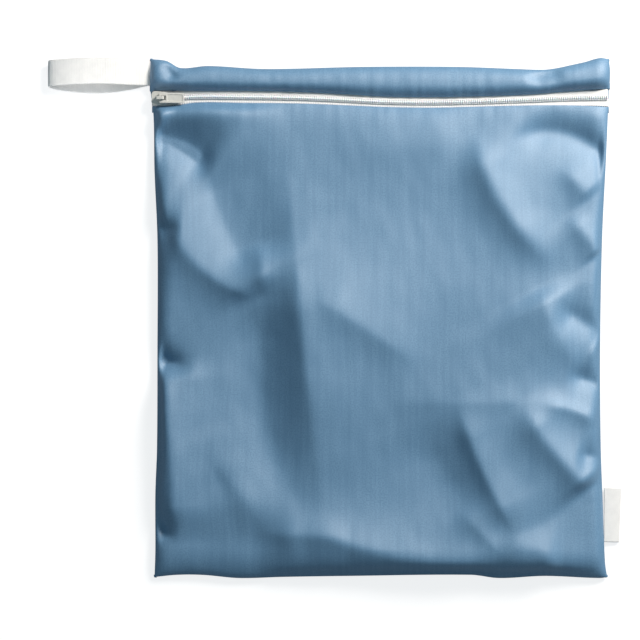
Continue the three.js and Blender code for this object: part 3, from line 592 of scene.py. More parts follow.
def knit_finish():
    material, tree, shader = new_finish("knit_cloth", Roughness=0.6, IOR=1.6,
                                        Specular_IOR_Level=1.0)
    place = add_node(tree, "ShaderNodeUVMap", {"uv_map": "cloth"}).outputs[0]
    stretch = add_node(tree, "ShaderNodeMapping", Vector=place, Scale=(420.0, 16.0, 1.0))
    streak = noise_of(tree, stretch.outputs[0], 1.0, 2.0)
    tone = share_of(tree, noise_of(tree, place, 28.0, 3.0), 0.3, 0.7)
    colour = blend_colours(tree, tone, CLOTH_BLUE, CLOTH_PALE)
    colour = blend_colours(tree, share_of(tree, streak, 0.4, 0.8, 0.8), colour, CLOTH_DEEP)
    mottle = share_of(tree, noise_of(tree, place, 1000.0, 0.0), 0.4, 0.7, 0.9)
    colour = blend_colours(tree, mottle, colour, CLOTH_DEEP)
    wales, courses = thread_waves(tree, place, WALE, COURSE)
    ribs = sum_of(tree, "MULTIPLY_ADD", courses, 0.4, wales)
    relief = sum_of(tree, "MULTIPLY_ADD", streak, 0.8, ribs)
    colour_and_bump(tree, shader, colour, relief, 0.55, 0.035 * MM)
    return material


knit = knit_finish()
print("knit ribs are", WALE / MM, "mm apart")

# %% [markdown]
# The front cloth is one sheet from the zip down to the bottom seam. At the zip it is turned
# under as a hem, and at its other sides it curls in to the seam. Small ripples along the hem
# and the seams come from the sewing: thread pulls the cloth a little shorter than it was.

# %% Helpers for the edges of a sheet
SEAM_CURL = 0.55 * MM
ALLOWANCE = 0.9 * MM
HEM_DEPTH = 4 * MM
CURL_STEPS = 3
FINE_ROLL_STEPS = 9


def seam_rim():
    """Inset and drop of a sheet's last lines as it curls in to a seam."""
    turn = np.linspace(0, np.pi / 2, CURL_STEPS + 1)[1:]
    inset = np.append(SEAM_CURL * (1 - np.cos(turn)), SEAM_CURL + ALLOWANCE)
    drop = np.append(SEAM_CURL * np.sin(turn), SEAM_CURL)
    return inset, drop


def hem_rim():
    """Inset and drop of a hem that folds under by half a turn."""
    radius = HEM / 2
    turn = np.linspace(0, np.pi, 2 * CURL_STEPS + 1)[1:]
    inset = np.append(radius * (1 - np.sin(turn)), HEM_DEPTH)
    drop = np.append(radius * (1 - np.cos(turn)), HEM)
    return inset, drop


def fine_shares(length, first_roll, last_roll, steps):
    """Shares along a side: close together over a rolled edge at each end, even between."""
    bend = 1 - np.cos(np.linspace(0, np.pi / 2, FINE_ROLL_STEPS + 1)[:-1])
    first = first_roll / length
    last = last_roll / length
    return np.concatenate([first * bend, np.linspace(first, 1 - last, steps + 1),
                           1 - last * bend[::-1]])


def lay_grid(rows, columns, upper, lower, height):
    """A grid between an upper and a lower edge, and its height at every point."""
    near_x = ((columns - 0.5) * BAG_WIDTH)[None, :]
    y = upper(near_x) + (lower(near_x) - upper(near_x)) * rows[:, None]
    x = left_edge(y) + (right_edge(y) - left_edge(y)) * columns[None, :]
    return np.stack([x, y, height(x, y)], axis=2)


def add_rims(points, top=None, bottom=None, side=None, up=-1):
    """Adds the curled lines round a grid. A drop goes down, or up where up is 1."""
    if side is not None:
        inset, drop = side
        for column, sign in ((0, 1), (-1, -1)):
            edge = points[:, [column], :]
            extra = np.repeat(edge, len(inset), axis=1)
            extra[:, :, 0] += sign * inset[None, :]
            extra[:, :, 2] += up * drop[None, :]
            parts = (extra[:, ::-1], points) if column == 0 else (points, extra)
            points = np.concatenate(parts, axis=1)
    for rim, row, sign in ((top, 0, -1), (bottom, -1, 1)):
        if rim is None:
            continue
        inset, drop = rim
        extra = np.repeat(points[[row], :, :], len(inset), axis=0)
        extra[:, :, 1] += sign * inset[:, None]
        extra[:, :, 2] += up * drop[:, None]
        points = np.concatenate((extra[::-1], points) if row == 0 else (points, extra), axis=0)
    return points


def ripple(x, y, seed, scale):
    """Smooth noise from -1 to 1 at every place of two arrays. Scale is in waves for each metre."""
    flat = [noise.noise(Vector((a * scale[0], b * scale[1], seed)))
            for a, b in zip(x.ravel(), y.ravel())]
    return np.array(flat).reshape(x.shape)


print("hem is turned under by", HEM_DEPTH / MM, "mm")

# %% Make the front cloth
FRONT_COLUMNS = 190
FRONT_ROWS = 200
RIPPLE = 0.22 * MM
SEAM_RIPPLE = 0.45 * MM
SEAM_RIPPLE_REACH = 7 * MM


def front_height(x, y):
    """The folded height with the small unevenness of sewn cloth."""
    held = in_from_sides(x, y, SIDE_ROLL) * smooth(0, BOTTOM_ROLL * 0.5, y - bottom_edge(x))
    soft = ripple(x, y, 3.1, (38, 26)) + 0.5 * ripple(x, y, 7.7, (110, 70))
    from_side = np.minimum(x - left_edge(y), right_edge(y) - x)
    from_zip = zip_lower(x) - y
    side_pull = ripple(x * 0, y, 5.3, (1, 170)) * np.exp(-from_side / SEAM_RIPPLE_REACH)
    zip_pull = ripple(x, y * 0, 9.1, (230, 1)) * np.exp(-from_zip / SEAM_RIPPLE_REACH)
    return (panel_top(x, y) + RIPPLE * 2 * soft * held
            + SEAM_RIPPLE * (side_pull + 0.5 * zip_pull) * held)


front_grid = lay_grid(fine_shares(BAG_HEIGHT, HEM, BOTTOM_ROLL, FRONT_ROWS),
                      fine_shares(BAG_WIDTH, SIDE_ROLL, SIDE_ROLL, FRONT_COLUMNS),
                      zip_lower, bottom_edge, front_height)
front_grid[:, :, 1] -= HEM / 2 * np.linspace(1, 0, front_grid.shape[0])[:, None]
front_points = add_rims(front_grid, side=seam_rim(), bottom=seam_rim())
hem_inset, hem_drop = hem_rim()
front_points = add_rims(front_points, top=(hem_inset - HEM / 2, hem_drop))
front_cloth = add_sheet("front_cloth", front_points, CLOTH, knit)
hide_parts("front_panel")
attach(front_cloth, "bag")
print("front cloth rises to", round(front_points[:, :, 2].max() / MM, 1), "mm")

# %% [markdown]
# The band above the zip is a narrow sheet that rolls over from the top seam and drops steeply
# to the zip. A bent plane with a Solidify modifier would come close, but it has no hem, so the
# band is made like the front, with its hem at the lower side.

# %% Make the band
BAND_ROWS = 44


def band_height(x, y):
    t = down_band(x, y)
    held = in_from_sides(x, y, SIDE_ROLL)
    soft = ripple(x, y, 21.3, (45, 60)) + 0.6 * ripple(x, y, 23.9, (190, 40))
    pull = ripple(x, y * 0, 27.7, (260, 1)) * smooth(0.55, 1, t)
    return band_top(x, y) + held * smooth(0, 0.3, t) * (RIPPLE * 1.6 * soft + SEAM_RIPPLE * pull)


climb_shares = CREST_SHARE * (1 - np.cos(np.linspace(0, np.pi / 2, BAND_ROWS // 2)))
fall_shares = np.linspace(CREST_SHARE, 1, BAND_ROWS // 2)[1:]
band_grid = lay_grid(np.concatenate([climb_shares, fall_shares]),
                     fine_shares(BAG_WIDTH, SIDE_ROLL, SIDE_ROLL, FRONT_COLUMNS),
                     top_edge, zip_upper, band_height)
band_grid[:, :, 1] += HEM / 2 * np.linspace(0, 1, band_grid.shape[0])[:, None]
band_points = add_rims(band_grid, side=seam_rim(), top=seam_rim())
band_points = add_rims(band_points, bottom=(hem_inset - HEM / 2, hem_drop))
band_cloth = add_sheet("band_cloth", band_points, CLOTH, knit)
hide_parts("top_band")
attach(band_cloth, "bag")

# %% [markdown]
# The back lies on the table. A flat plane would do for this view, but from the side it would
# look like card. So the back is almost flat, curls up to meet the front at the seams, and
# lifts off the table here and there by less than a millimetre, as cloth does.

# %% Make the back cloth
BACK_ROLL = 9 * MM
BACK_RIM = 1.65 * MM
BACK_LIFT = 0.5 * MM
BACK_COLUMNS = 120
BACK_ROWS = 130


def back_height(x, y):
    sides = roll(x - left_edge(y), BACK_ROLL) * roll(right_edge(y) - x, BACK_ROLL)
    ends = roll(top_edge(x) - y, BACK_ROLL) * roll(y - bottom_edge(x), BACK_ROLL)
    lift = np.maximum(ripple(x, y, 41.5, (30, 24)), 0) * BACK_LIFT * sides * ends
    return BACK_RIM * (1 - np.clip(sides * ends, 0, 1)) + lift


back_grid = lay_grid(fine_shares(BAG_HEIGHT, BACK_ROLL, BACK_ROLL, BACK_ROWS),
                     fine_shares(BAG_WIDTH, BACK_ROLL, BACK_ROLL, BACK_COLUMNS),
                     top_edge, bottom_edge, back_height)
back_points = add_rims(back_grid, top=seam_rim(), bottom=seam_rim(), side=seam_rim(), up=1)
back_cloth = add_sheet("back_cloth", back_points[:, ::-1], CLOTH, knit)
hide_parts("back_panel")
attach(back_cloth, "bag")

# %% [markdown]
# The zip's two tapes are narrow woven ribbons. Their cords run lengthwise, so each tape is a
# grid with shallow ridges along it. At both ends the tapes bend down into the side seams. The
# finish adds the fine cross threads that would be too small to model.

# %% Finish of woven white ribbon
RIBBON_WHITE = (0.88, 0.85, 0.825, 1.0)
RIBBON_SHADE = (0.77, 0.745, 0.73, 1.0)
TAPE_THREAD = 0.5 * MM


def ribbon_finish(name, along, aside, relief, roughness=0.75):
    """Woven white ribbon whose threads cross, with their spacing along and across it."""
    material, tree, shader = new_finish(name, Roughness=roughness, Specular_IOR_Level=0.3,
                                        Sheen_Weight=0.15, Sheen_Roughness=0.5)
    place = add_node(tree, "ShaderNodeUVMap", {"uv_map": "cloth"}).outputs[0]
    weave = sum_of(tree, "MULTIPLY", *thread_waves(tree, place, along, aside))
    stained = sum_of(tree, "MULTIPLY_ADD", weave, 0.2, noise_of(tree, place, 180.0, 4.0))
    colour = blend_colours(tree, share_of(tree, stained, 0.3, 0.95), RIBBON_WHITE, RIBBON_SHADE)
    colour_and_bump(tree, shader, colour, weave, 0.6, relief)
    return material


tape_finish = ribbon_finish("zip_tape_weave", TAPE_THREAD, 0.45 * MM, 0.04 * MM)
print("tape threads are", TAPE_THREAD / MM, "mm apart")

# %% Make the zip's tapes
TAPE = 0.6 * MM
TAPE_TUCK = 3 * MM
TAPE_STATIONS = 260
TAPE_LINES = 25
TAPE_SLIT = 0.2 * MM
TAPE_END_BEND = 1.4 * MM
TAPE_END_DROP = 2.4 * MM
CORD_PITCH = 0.85 * MM
CORD_RELIEF = 0.07 * MM
COIL_HALF = 2.1 * MM
POST_HALF = 1.0 * MM
SLIDER_POST_END = -151.0 * MM
CLOSING_RUN = 3 * MM


def zip_stations(count, start_inset, end_inset):
    """Places along the zip, in from the left and right seams by the two insets."""
    y_middle = zip_middle(np.array([-0.5, 0.5]) * BAG_WIDTH)
    start = left_edge(y_middle[0]) + start_inset
    end = right_edge(y_middle[1]) - end_inset
    return np.linspace(start, end, count)


def end_bend(x):
    """How far the tape has bent down into the seam near its two ends."""
    middle = zip_middle(x)
    from_end = np.minimum(x - left_edge(middle), right_edge(middle) - x)
    return TAPE_END_DROP * (1 - roll(from_end - GAP, TAPE_END_BEND))


def add_tape(name, side, node):
    x = zip_stations(TAPE_STATIONS, GAP, GAP)
    from_seam = np.minimum(x - x[0], x[-1] - x)
    tuck = -GAP + (TAPE_TUCK + GAP) * smooth(SIDE_ROLL * 1.4, SIDE_ROLL * 3, from_seam)
    closed = smooth(SLIDER_POST_END + GAP, SLIDER_POST_END + CLOSING_RUN, x)
    spread = POST_HALF + GAP + (TAPE_SLIT - POST_HALF - GAP) * closed
    outer = np.where(side > 0, zip_upper(x), zip_lower(x)) + side * tuck
    inner = zip_middle(x) + side * spread
    share = np.linspace(0, 1, TAPE_LINES)[:, None]
    y = inner[None, :] + (outer - inner)[None, :] * share
    from_middle = np.abs(y - zip_middle(x)[None, :])
    beside_coil = smooth(COIL_HALF * 0.8, COIL_HALF, from_middle)
    cords = np.cos(FULL_TURN * from_middle / CORD_PITCH) * beside_coil
    z = (zip_top(x) - end_bend(x))[None, :] + CORD_RELIEF * (cords - 1)
    points = np.stack([np.broadcast_to(x[None, :], y.shape), y, z], axis=2)
    tape = add_sheet(name, points[::-1] if side > 0 else points, TAPE, tape_finish)
    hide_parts(node)
    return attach(tape, "bag")


tape_above = add_tape("tape_above", 1, "zip_tape_upper")
tape_below = add_tape("tape_below", -1, "zip_tape_lower")

# %% [markdown]
# The zip's teeth are turns of nylon wire that lock over the middle, and rows of thread sew the
# coils to the tapes. Hundreds of copies along a line are work for Geometry Nodes: the tree
# takes a line, puts one small piece at every step, turns it to follow the line and varies it a
# little. It ends in real geometry with its material, so that nothing depends on instances.

# %% Build the tree that repeats a piece along a line
def repeat_tree():
    tree = bpy.data.node_groups.new("repeat_along_line", "GeometryNodeTree")
    sockets = (("Line", "NodeSocketGeometry"), ("Piece", "NodeSocketObject"),
               ("Spacing", "NodeSocketFloat"), ("Wobble", "NodeSocketFloat"),
               ("Seed", "NodeSocketInt"), ("Finish", "NodeSocketMaterial"))
    for name, kind in sockets:
        tree.interface.new_socket(name, in_out="INPUT", socket_type=kind)
    tree.interface.new_socket("Pieces", in_out="OUTPUT", socket_type="NodeSocketGeometry")
    given = tree.nodes.new("NodeGroupInput").outputs
    line = add_node(tree, "GeometryNodeMeshToCurve", Mesh=given["Line"])
    steps = add_node(tree, "GeometryNodeResampleCurve", {"mode": "LENGTH"},
                     Curve=line.outputs[0], Length=given["Spacing"])
    shape = add_node(tree, "GeometryNodeObjectInfo", Object=given["Piece"])
    heading = tree.nodes.new("GeometryNodeInputTangent")
    turn = add_node(tree, "FunctionNodeAlignRotationToVector", {"axis": "X"},
                    Vector=heading.outputs[0])
    vary = add_node(tree, "FunctionNodeRandomValue", {"data_type": "FLOAT"}, Seed=given["Seed"])
    tree.links.new(sum_of(tree, "SUBTRACT", 1.0, given["Wobble"]), vary.inputs[2])
    tree.links.new(sum_of(tree, "ADD", 1.0, given["Wobble"]), vary.inputs[3])
    copies = add_node(tree, "GeometryNodeInstanceOnPoints", Points=steps.outputs[0],
                      Instance=shape.outputs["Geometry"], Rotation=turn.outputs[0])
    tree.links.new(vary.outputs[1], copies.inputs["Scale"])
    real = add_node(tree, "GeometryNodeRealizeInstances", Geometry=copies.outputs[0])
    painted = add_node(tree, "GeometryNodeSetMaterial", Geometry=real.outputs[0],
                       Material=given["Finish"])
    tree.links.new(painted.outputs[0], tree.nodes.new("NodeGroupOutput").inputs["Pieces"])
    return tree


REPEAT = repeat_tree()
print("the tree has", len(REPEAT.nodes), "nodes")


def repeat_along(name, line, piece, finish, **sizes):
    """Copies of a small mesh along a line of points, as one plain mesh."""
    mesh = bpy.data.meshes.new(name)
    mesh.from_pydata(line.tolist(), [(i, i + 1) for i in range(len(line) - 1)], [])
    made = add_object(name, mesh)
    sample = bpy.data.objects.new("sample", piece)
    modifier = made.modifiers.new("repeat", "NODES")
    modifier.node_group = REPEAT
    inputs = {item.name: item.identifier for item in REPEAT.interface.items_tree
              if item.in_out == "INPUT"}
    modifier[inputs["Piece"]] = sample
    modifier[inputs["Finish"]] = finish
    for size, value in sizes.items():
        modifier[inputs[size]] = value
    evaluated = made.evaluated_get(bpy.context.evaluated_depsgraph_get())
    result = bpy.data.meshes.new_from_object(evaluated)
    made.modifiers.clear()
    made.data = result
    result.name = name
    bpy.data.objects.remove(sample)
    result.polygons.foreach_set("use_smooth", [True] * len(result.polygons))
    print(name, "has", len(result.polygons), "faces")
    return made


# %% [markdown]
# Teeth and stitches are short bent rods, all under three millimetres long. A ring of points
# is set round each of a few centres, the rings are joined by faces and both ends are closed.

# %% Shape a bent rod
ROD_SIDES = 6


def bent_rod(centres, radii):
    """A closed rod through a few centres, with a radius at each."""
    centres = np.array(centres, float)
    heading = unit(np.gradient(centres, axis=0))
    aside = unit(np.cross(heading, (1.0, 0.02, 0.01)))
    over = np.cross(heading, aside)
    turn = np.linspace(0, FULL_TURN, ROD_SIDES, endpoint=False)
    ring = (aside[:, None] * np.cos(turn)[None, :, None]
            + over[:, None] * np.sin(turn)[None, :, None])
    points = centres[:, None] + ring * np.array(radii)[:, None, None]
    mesh = bpy.data.meshes.new("rod")
    rod = bmesh.new()
    rings = [[rod.verts.new(point) for point in row] for row in points]
    for row, after in zip(rings, rings[1:]):
        for i in range(ROD_SIDES):
            j = (i + 1) % ROD_SIDES
            rod.faces.new((row[i], row[j], after[j], after[i]))
    rod.faces.new(rings[0][::-1])
    rod.faces.new(rings[-1])
    bmesh.ops.recalc_face_normals(rod, faces=rod.faces)
    rod.to_mesh(mesh)
    rod.free()
    return mesh


# %% [markdown]
# Seen from above, each turn of the coil is a short bar that starts at the stitching, climbs to
# the middle and dips just past it. Turns from above and below alternate, half a step apart.

# %% Finish and shape of the teeth
TOOTH_PITCH = 1.27 * MM
TOOTH_WIRE = 0.45 * MM
TOOTH_LEAN = 0.12
NYLON_WHITE = (0.93, 0.93, 0.93, 1.0)
NYLON_SHADE = (0.85, 0.85, 0.86, 1.0)
TOOTH_PATH = table("aside up size",
    (1.6, 0.2, 0.7), (1.3, 0.3, 0.95), (0.95, 0.5, 1.0), (0.6, 0.85, 1.0),
    (0.2, 1.1, 1.0), (-0.3, 1.0, 1.0), (-0.5, 0.65, 0.8))


def nylon_finish():
    material, tree, shader = new_finish("nylon_coil", Roughness=0.38, Specular_IOR_Level=0.5,
                                        Subsurface_Weight=0.15, Subsurface_Scale=0.0006)
    place = tree.nodes.new("ShaderNodeTexCoord").outputs["Object"]
    cloud = noise_of(tree, place, 900.0, 3.0)
    colour = blend_colours(tree, share_of(tree, cloud, 0.3, 0.7), NYLON_WHITE, NYLON_SHADE)
    colour_and_bump(tree, shader, colour, cloud, 0.3, 0.02 * MM)
    return material


nylon = nylon_finish()
tooth_meshes = {}
for side in (1, -1):
    centres = [(side * TOOTH_LEAN * MM * row.aside, side * row.aside * MM, row.up * MM)
               for row in TOOTH_PATH]
    tooth_meshes[side] = bent_rod(centres, [TOOTH_WIRE * row.size for row in TOOTH_PATH])
print("one tooth has", len(tooth_meshes[1].polygons), "faces")

# %% Run the teeth along the zip
COIL_START = 5.6 * MM
COIL_END = 1.6 * MM
LINE_POINTS = 120


def zip_line(start, end, aside, up):
    """A line along the zip, beside its middle and above its tape."""
    x = zip_stations(LINE_POINTS, start, end)
    return np.stack([x, zip_middle(x) + aside, zip_top(x) + up], axis=1)


rows_of_teeth = [
    repeat_along("teeth_" + word, zip_line(COIL_START + shift, COIL_END, 0, 0), tooth_meshes[side],
                 nylon, Spacing=TOOTH_PITCH, Wobble=0.02, Seed=4)
    for word, side, shift in (("above", 1, 0), ("below", -1, TOOTH_PITCH / 2))]


def join_pieces(name, pieces):
    """Several objects as one mesh object."""
    joined = bmesh.new()
    for piece in pieces:
        joined.from_mesh(piece.data)
    mesh = bpy.data.meshes.new(name)
    joined.to_mesh(mesh)
    joined.free()
    for material in pieces[0].data.materials:
        mesh.materials.append(material)
    for piece in pieces:
        bpy.data.objects.remove(piece)
    return add_object(name, mesh)


coil_teeth = join_pieces("coil_teeth", rows_of_teeth)
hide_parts("zip_coil")
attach(coil_teeth, "bag")

# %% [markdown]
# Thread holds everything together. Two rows of stitches press the coils down, which makes the
# grooves beside the middle ridge, and a row of small white loops edges the lower tape where
# the hem meets it. Bump could draw stitches too, but real ones keep their shape up close.

# %% Stitch the coil and the hem
THREAD = 0.17 * MM
GROOVE_ASIDE = 1.32 * MM
GROOVE_UP = 0.78 * MM
STITCH_STEP = 1.9 * MM
GROOVE_START = 6 * MM
LOOP_STEP = 1.62 * MM
LOOPS_START = 12 * MM
LOOPS_END = 3 * MM
LOOPS_ASIDE = 0.35 * MM
LOOPS_UP = 0.1 * MM
STITCH_PATH = table("along up size",
    (-0.8, -0.1, 0.7), (-0.5, 0.03, 1.0), (0, 0.08, 1.0), (0.5, 0.03, 1.0), (0.8, -0.1, 0.7))
LOOP_STITCH_PATH = table("along aside up size",
    (-0.35, -0.75, -0.1, 1.0), (-0.2, -0.2, 0.16, 1.5), (0.1, 0.25, 0.2, 1.5),
    (0.35, 0.7, -0.05, 1.0))
THREAD_WHITE = (0.92, 0.92, 0.92, 1.0)
THREAD_SHADE = (0.75, 0.75, 0.77, 1.0)


def thread_finish():
    material, tree, shader = new_finish("sewing_thread", Roughness=0.7, Sheen_Weight=0.2)
    place = tree.nodes.new("ShaderNodeTexCoord").outputs["Object"]
    twist = noise_of(tree, place, 2500.0, 2.0)
    colour = blend_colours(tree, twist, THREAD_WHITE, THREAD_SHADE)
    colour_and_bump(tree, shader, colour, twist, 0.5, 0.04 * MM)
    return material


thread = thread_finish()
stitch = bent_rod([(row.along * MM, 0, row.up * MM) for row in STITCH_PATH],
                  [THREAD * row.size for row in STITCH_PATH])
groove_rows = [
    repeat_along("groove_" + word,
                 zip_line(COIL_START + GROOVE_START, COIL_END, side * GROOVE_ASIDE, GROOVE_UP),
                 stitch, thread, Spacing=STITCH_STEP, Wobble=0.06, Seed=11)
    for word, side in (("above", 1), ("below", -1))]
loop_stitch = bent_rod([(row.along * MM, row.aside * MM, row.up * MM) for row in LOOP_STITCH_PATH],
                       [THREAD * row.size for row in LOOP_STITCH_PATH])
loop_x = zip_stations(LINE_POINTS, LOOPS_START, LOOPS_END)
loop_line = np.stack([loop_x, zip_lower(loop_x) + LOOPS_ASIDE, zip_top(loop_x) + LOOPS_UP], axis=1)
edge_loops = repeat_along("edge_loops", loop_line, loop_stitch, thread,
                          Spacing=LOOP_STEP, Wobble=0.12, Seed=17)
zip_stitches = join_pieces("zip_stitches", [*groove_rows, edge_loops])
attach(zip_stitches, "bag")

# %% [markdown]
# The slider and its pull tab are small castings with a thin coat of pale grey paint. Casting
# leaves no sharp edge. A bevel works poorly on a mesh of thin triangles, so a copy of each
# measured piece is remade from very small voxels and smoothed a little. Paint wears first on
# raised edges, and the corners get painted shade, a dark colour in place of the shadow that
# falls there. The pointiness of the surface finds both.

# %% Finish of painted metal
SLIDER_PAINT = (0.64, 0.625, 0.58, 1.0)
SLIDER_DULL = (0.5, 0.485, 0.45, 1.0)
# Painted shade: a dark colour laid into the casting's hollows, where shadow falls.
SLIDER_PAINTED_SHADE = (0.2, 0.18, 0.16, 1.0)
SLIDER_WORN = (0.9, 0.9, 0.87, 1.0)


def painted_metal():
    material, tree, shader = new_finish("painted_casting", Specular_IOR_Level=0.5)
    place = tree.nodes.new("ShaderNodeTexCoord").outputs["Object"]
    cloud = noise_of(tree, place, 420.0, 4.0)
    fine = noise_of(tree, place, 2600.0, 3.0)
    edge = tree.nodes.new("ShaderNodeNewGeometry").outputs["Pointiness"]
    worn = sum_of(tree, "MULTIPLY", share_of(tree, edge, 0.515, 0.57), cloud)
    # Painted shade: the colour darkens where the surface is hollow, standing in for shadow.
    painted_shade = share_of(tree, edge, 0.495, 0.43, 0.85)
    colour = blend_colours(tree, cloud, SLIDER_PAINT, SLIDER_DULL)
    colour = blend_colours(tree, painted_shade, colour, SLIDER_PAINTED_SHADE)
    colour = blend_colours(tree, worn, colour, SLIDER_WORN)
    tree.links.new(sum_of(tree, "MULTIPLY", worn, 0.5), shader.inputs["Metallic"])
    tree.links.new(sum_of(tree, "MULTIPLY_ADD", fine, 0.25, 0.25), shader.inputs["Roughness"])
    colour_and_bump(tree, shader, colour, fine, 0.25, 0.05 * MM)
    return material


slider_metal = painted_metal()
print("slider paint is ready")

# %% Cast the slider and the tab
SLIDER_VOXEL = 0.14 * MM
TAB_VOXEL = 0.11 * MM
WELD = 0.002 * MM
SOFTEN_ROUNDS = 4


def cast_piece(name, node, body, voxel):
    """A smoothed copy of a measured piece, which stands for it."""
    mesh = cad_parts[node].data.copy()
    merged = bmesh.new()
    merged.from_mesh(mesh)
    bmesh.ops.remove_doubles(merged, verts=merged.verts, dist=WELD)
    merged.to_mesh(mesh)
    merged.free()
    mesh.materials.clear()
    mesh.materials.append(slider_metal)
    piece = add_object(name, mesh)
    remesh = piece.modifiers.new("voxels", "REMESH")
    remesh.mode = "VOXEL"
    remesh.voxel_size = voxel
    remesh.use_smooth_shade = True
    soften = piece.modifiers.new("soften", "SMOOTH")
    soften.iterations = SOFTEN_ROUNDS
    evaluated = piece.evaluated_get(bpy.context.evaluated_depsgraph_get())
    result = bpy.data.meshes.new_from_object(evaluated)
    piece.modifiers.clear()
    piece.data = result
    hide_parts(node)
    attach(piece, body)
    print(name, "has", len(result.polygons), "faces")
    return piece


slider_casting = cast_piece("slider_casting", "slider_body", "bag", SLIDER_VOXEL)
tab_casting = cast_piece("tab_casting", "pull_tab", "pull", TAB_VOXEL)

# %% [markdown]
# The hanging loop is one strap of webbing, folded in half and sewn into the side seam. Its
# upper layer bulges and turns down at the far end, and its lower layer comes back along the
# table. The strap is woven with ribs across it, which are modelled because they catch the
# light at its edge. A curve with a profile would be quicker but could not carry the ribs, so
# a ring of points is carried along the strap's path.

# %% Make the webbing strap
LOOP_REACH = 69 * MM
LOOP_HEIGHT = 11 * MM
LOOP_FROM_TOP = 0.9 * MM
WEBBING_WIDTH = 18 * MM
WEBBING = 1.4 * MM
RIB_PITCH = 1.1 * MM
RIB_DEPTH = 0.13 * MM
EDGE_WAVE = 0.12 * MM
EDGE_INSET = 0.15 * MM
STRAP_STATIONS = 640
STRAP_SIDES = 26
LOOP_PATH = table("out up slip",
    (0, 0.34, 0), (0.12, 0.55, 0), (0.3, 0.84, -0.02), (0.5, 0.93, -0.04), (0.72, 0.88, -0.02),
    (0.9, 0.7, 0.02), (0.98, 0.5, 0.04), (0.985, 0.28, 0.08), (0.9, 0.11, 0.16),
    (0.7, 0.075, 0.26), (0.45, 0.075, 0.28), (0.2, 0.09, 0.16), (0.06, 0.16, 0.04), (0, 0.19, 0))


def strap_path():
    """Points along the middle of the strap, evenly spaced, and its whole length."""
    middle_y = BAG_HEIGHT / 2 - LOOP_FROM_TOP - WEBBING_WIDTH / 2
    knots = np.array([(-BAG_WIDTH / 2 - GAP - row.out * LOOP_REACH,
                       middle_y - row.slip * WEBBING_WIDTH,
                       row.up * LOOP_HEIGHT) for row in LOOP_PATH])
    chord = np.append(0, np.cumsum(np.linalg.norm(np.diff(knots, axis=0), axis=1)))
    rows = table("along x y z", *[(place, *knot) for place, knot in zip(chord, knots)])
    fine = np.linspace(0, chord[-1], STRAP_STATIONS * 4)
    path = np.stack([read_table(rows, axis, fine) for axis in "xyz"], axis=1)
    run = np.append(0, np.cumsum(np.linalg.norm(np.diff(path, axis=0), axis=1)))
    even = np.linspace(0, run[-1], STRAP_STATIONS)
    return np.stack([np.interp(even, run, path[:, k]) for k in range(3)], axis=1), run[-1]


print("the strap's path has", len(LOOP_PATH), "rows")

# %% Carry the ribs along the strap
def strap_mesh():
    path, length = strap_path()
    run = np.linspace(0, length, STRAP_STATIONS)
    heading = np.gradient(path, axis=0)
    over = unit(np.stack([heading[:, 2], np.zeros(len(path)), -heading[:, 0]], axis=1))
    turn = np.linspace(0, FULL_TURN, STRAP_SIDES, endpoint=False)
    flat = np.sign(np.cos(turn)) * np.abs(np.cos(turn)) ** 0.35
    thick = np.sign(np.sin(turn)) * np.abs(np.sin(turn)) ** 0.5
    wave = np.cos(FULL_TURN * run / RIB_PITCH)
    ribs = 1 - RIB_DEPTH / WEBBING * (1 - wave)
    up = WEBBING / 2 * thick[None, :] * ribs[:, None]
    points = path[:, None, :] + over[:, None, :] * up[:, :, None]
    half_width = WEBBING_WIDTH / 2 - EDGE_INSET + EDGE_WAVE * wave[:, None]
    points[:, :, 1] += half_width * flat[None, :]
    stations, sides = points.shape[:2]
    index = np.arange(stations * sides).reshape(stations, sides)
    after = np.roll(index, -1, axis=1)
    faces = np.stack([index[:-1], index[1:], after[1:], after[:-1]], 2).reshape(-1, 4).tolist()
    faces.append(index[0].tolist())
    faces.append(index[-1][::-1].tolist())
    weave = np.stack([np.broadcast_to(run[:, None], (stations, sides)),
                      WEBBING_WIDTH / 2 * flat[None, :] + 0 * run[:, None]], axis=2)
    return points.reshape(-1, 3), faces, weave.reshape(-1, 2), length


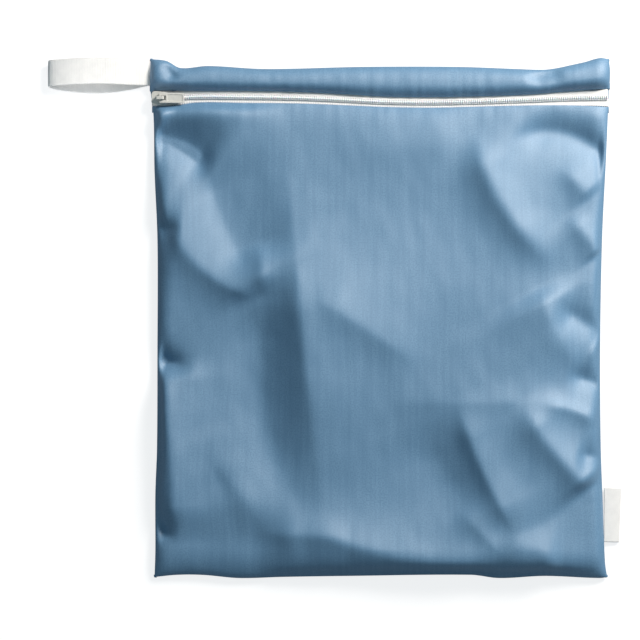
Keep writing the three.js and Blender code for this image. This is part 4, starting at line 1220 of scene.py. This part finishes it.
strap_points, strap_faces, strap_weave, STRAP_LENGTH = strap_mesh()
webbing_finish = ribbon_finish("webbing_weave", RIB_PITCH, 0.9 * MM, 0.09 * MM)
webbing_strap = add_piece("webbing_strap", strap_points, strap_faces, webbing_finish, strap_weave)
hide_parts("webbing_loop")
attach(webbing_strap, "bag")
print("strap is", round(STRAP_LENGTH / MM, 1), "mm long, end to end")

# %% [markdown]
# A small folded ribbon is caught in the right seam. It is left bare. A thin box would hide
# that it is folded. Its two layers lie close together with a round fold at the outer end, so
# the sheet's grid runs out, round and back.

# %% Make the label
LABEL_LENGTH = 37 * MM
LABEL_OUT = 12 * MM
LABEL_CLOTH = 0.4 * MM
LABEL_BEND = 0.6 * MM
LABEL_DROOP = 1 * MM
LABEL_SLANT = 0.14
LABEL_SKEW = 0.4 * MM
LABEL_STEPS = 25
LABEL_TURN_STEPS = 9
LABEL_ROWS = 60


def label_grid():
    """Points over the label's outer face, from the seam out, round the fold and back."""
    box_low, box_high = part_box("side_label")
    middle_z = SEAM_TOP - 0.45 * MM
    reach = np.linspace(0, 1, LABEL_STEPS, endpoint=False)
    turn = np.linspace(np.pi / 2, -np.pi / 2, LABEL_TURN_STEPS)
    level = np.zeros(LABEL_STEPS)
    out = np.concatenate([reach, turn * 0 + 1, reach[::-1]])
    curl = np.concatenate([level, np.cos(turn), level]) * LABEL_BEND
    up = np.concatenate([level + 1, np.sin(turn), level - 1]) * LABEL_BEND
    length = np.linspace(0, 1, LABEL_ROWS)[:, None]
    width = (LABEL_OUT - LABEL_BEND) * (1 - LABEL_SLANT * length)
    x = box_low.x - GAP + width * out[None, :] + curl[None, :]
    y = box_high.y - LABEL_LENGTH * length - LABEL_SKEW * out[None, :]
    z = middle_z - LABEL_DROOP * out[None, :] ** 2 + up[None, :] + 0 * length
    return np.stack([x, y, z], axis=2)


label_finish = ribbon_finish("label_weave", 0.35 * MM, 0.3 * MM, 0.03 * MM, 0.6)
seam_label = add_sheet("seam_label", label_grid(), LABEL_CLOTH, label_finish)
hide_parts("side_label")
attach(seam_label, "bag")

# %% [markdown]
# Every sheet of cloth was cut a little larger than what shows, because hems and seam
# allowances are turned in.

print("sheets of cloth are made")
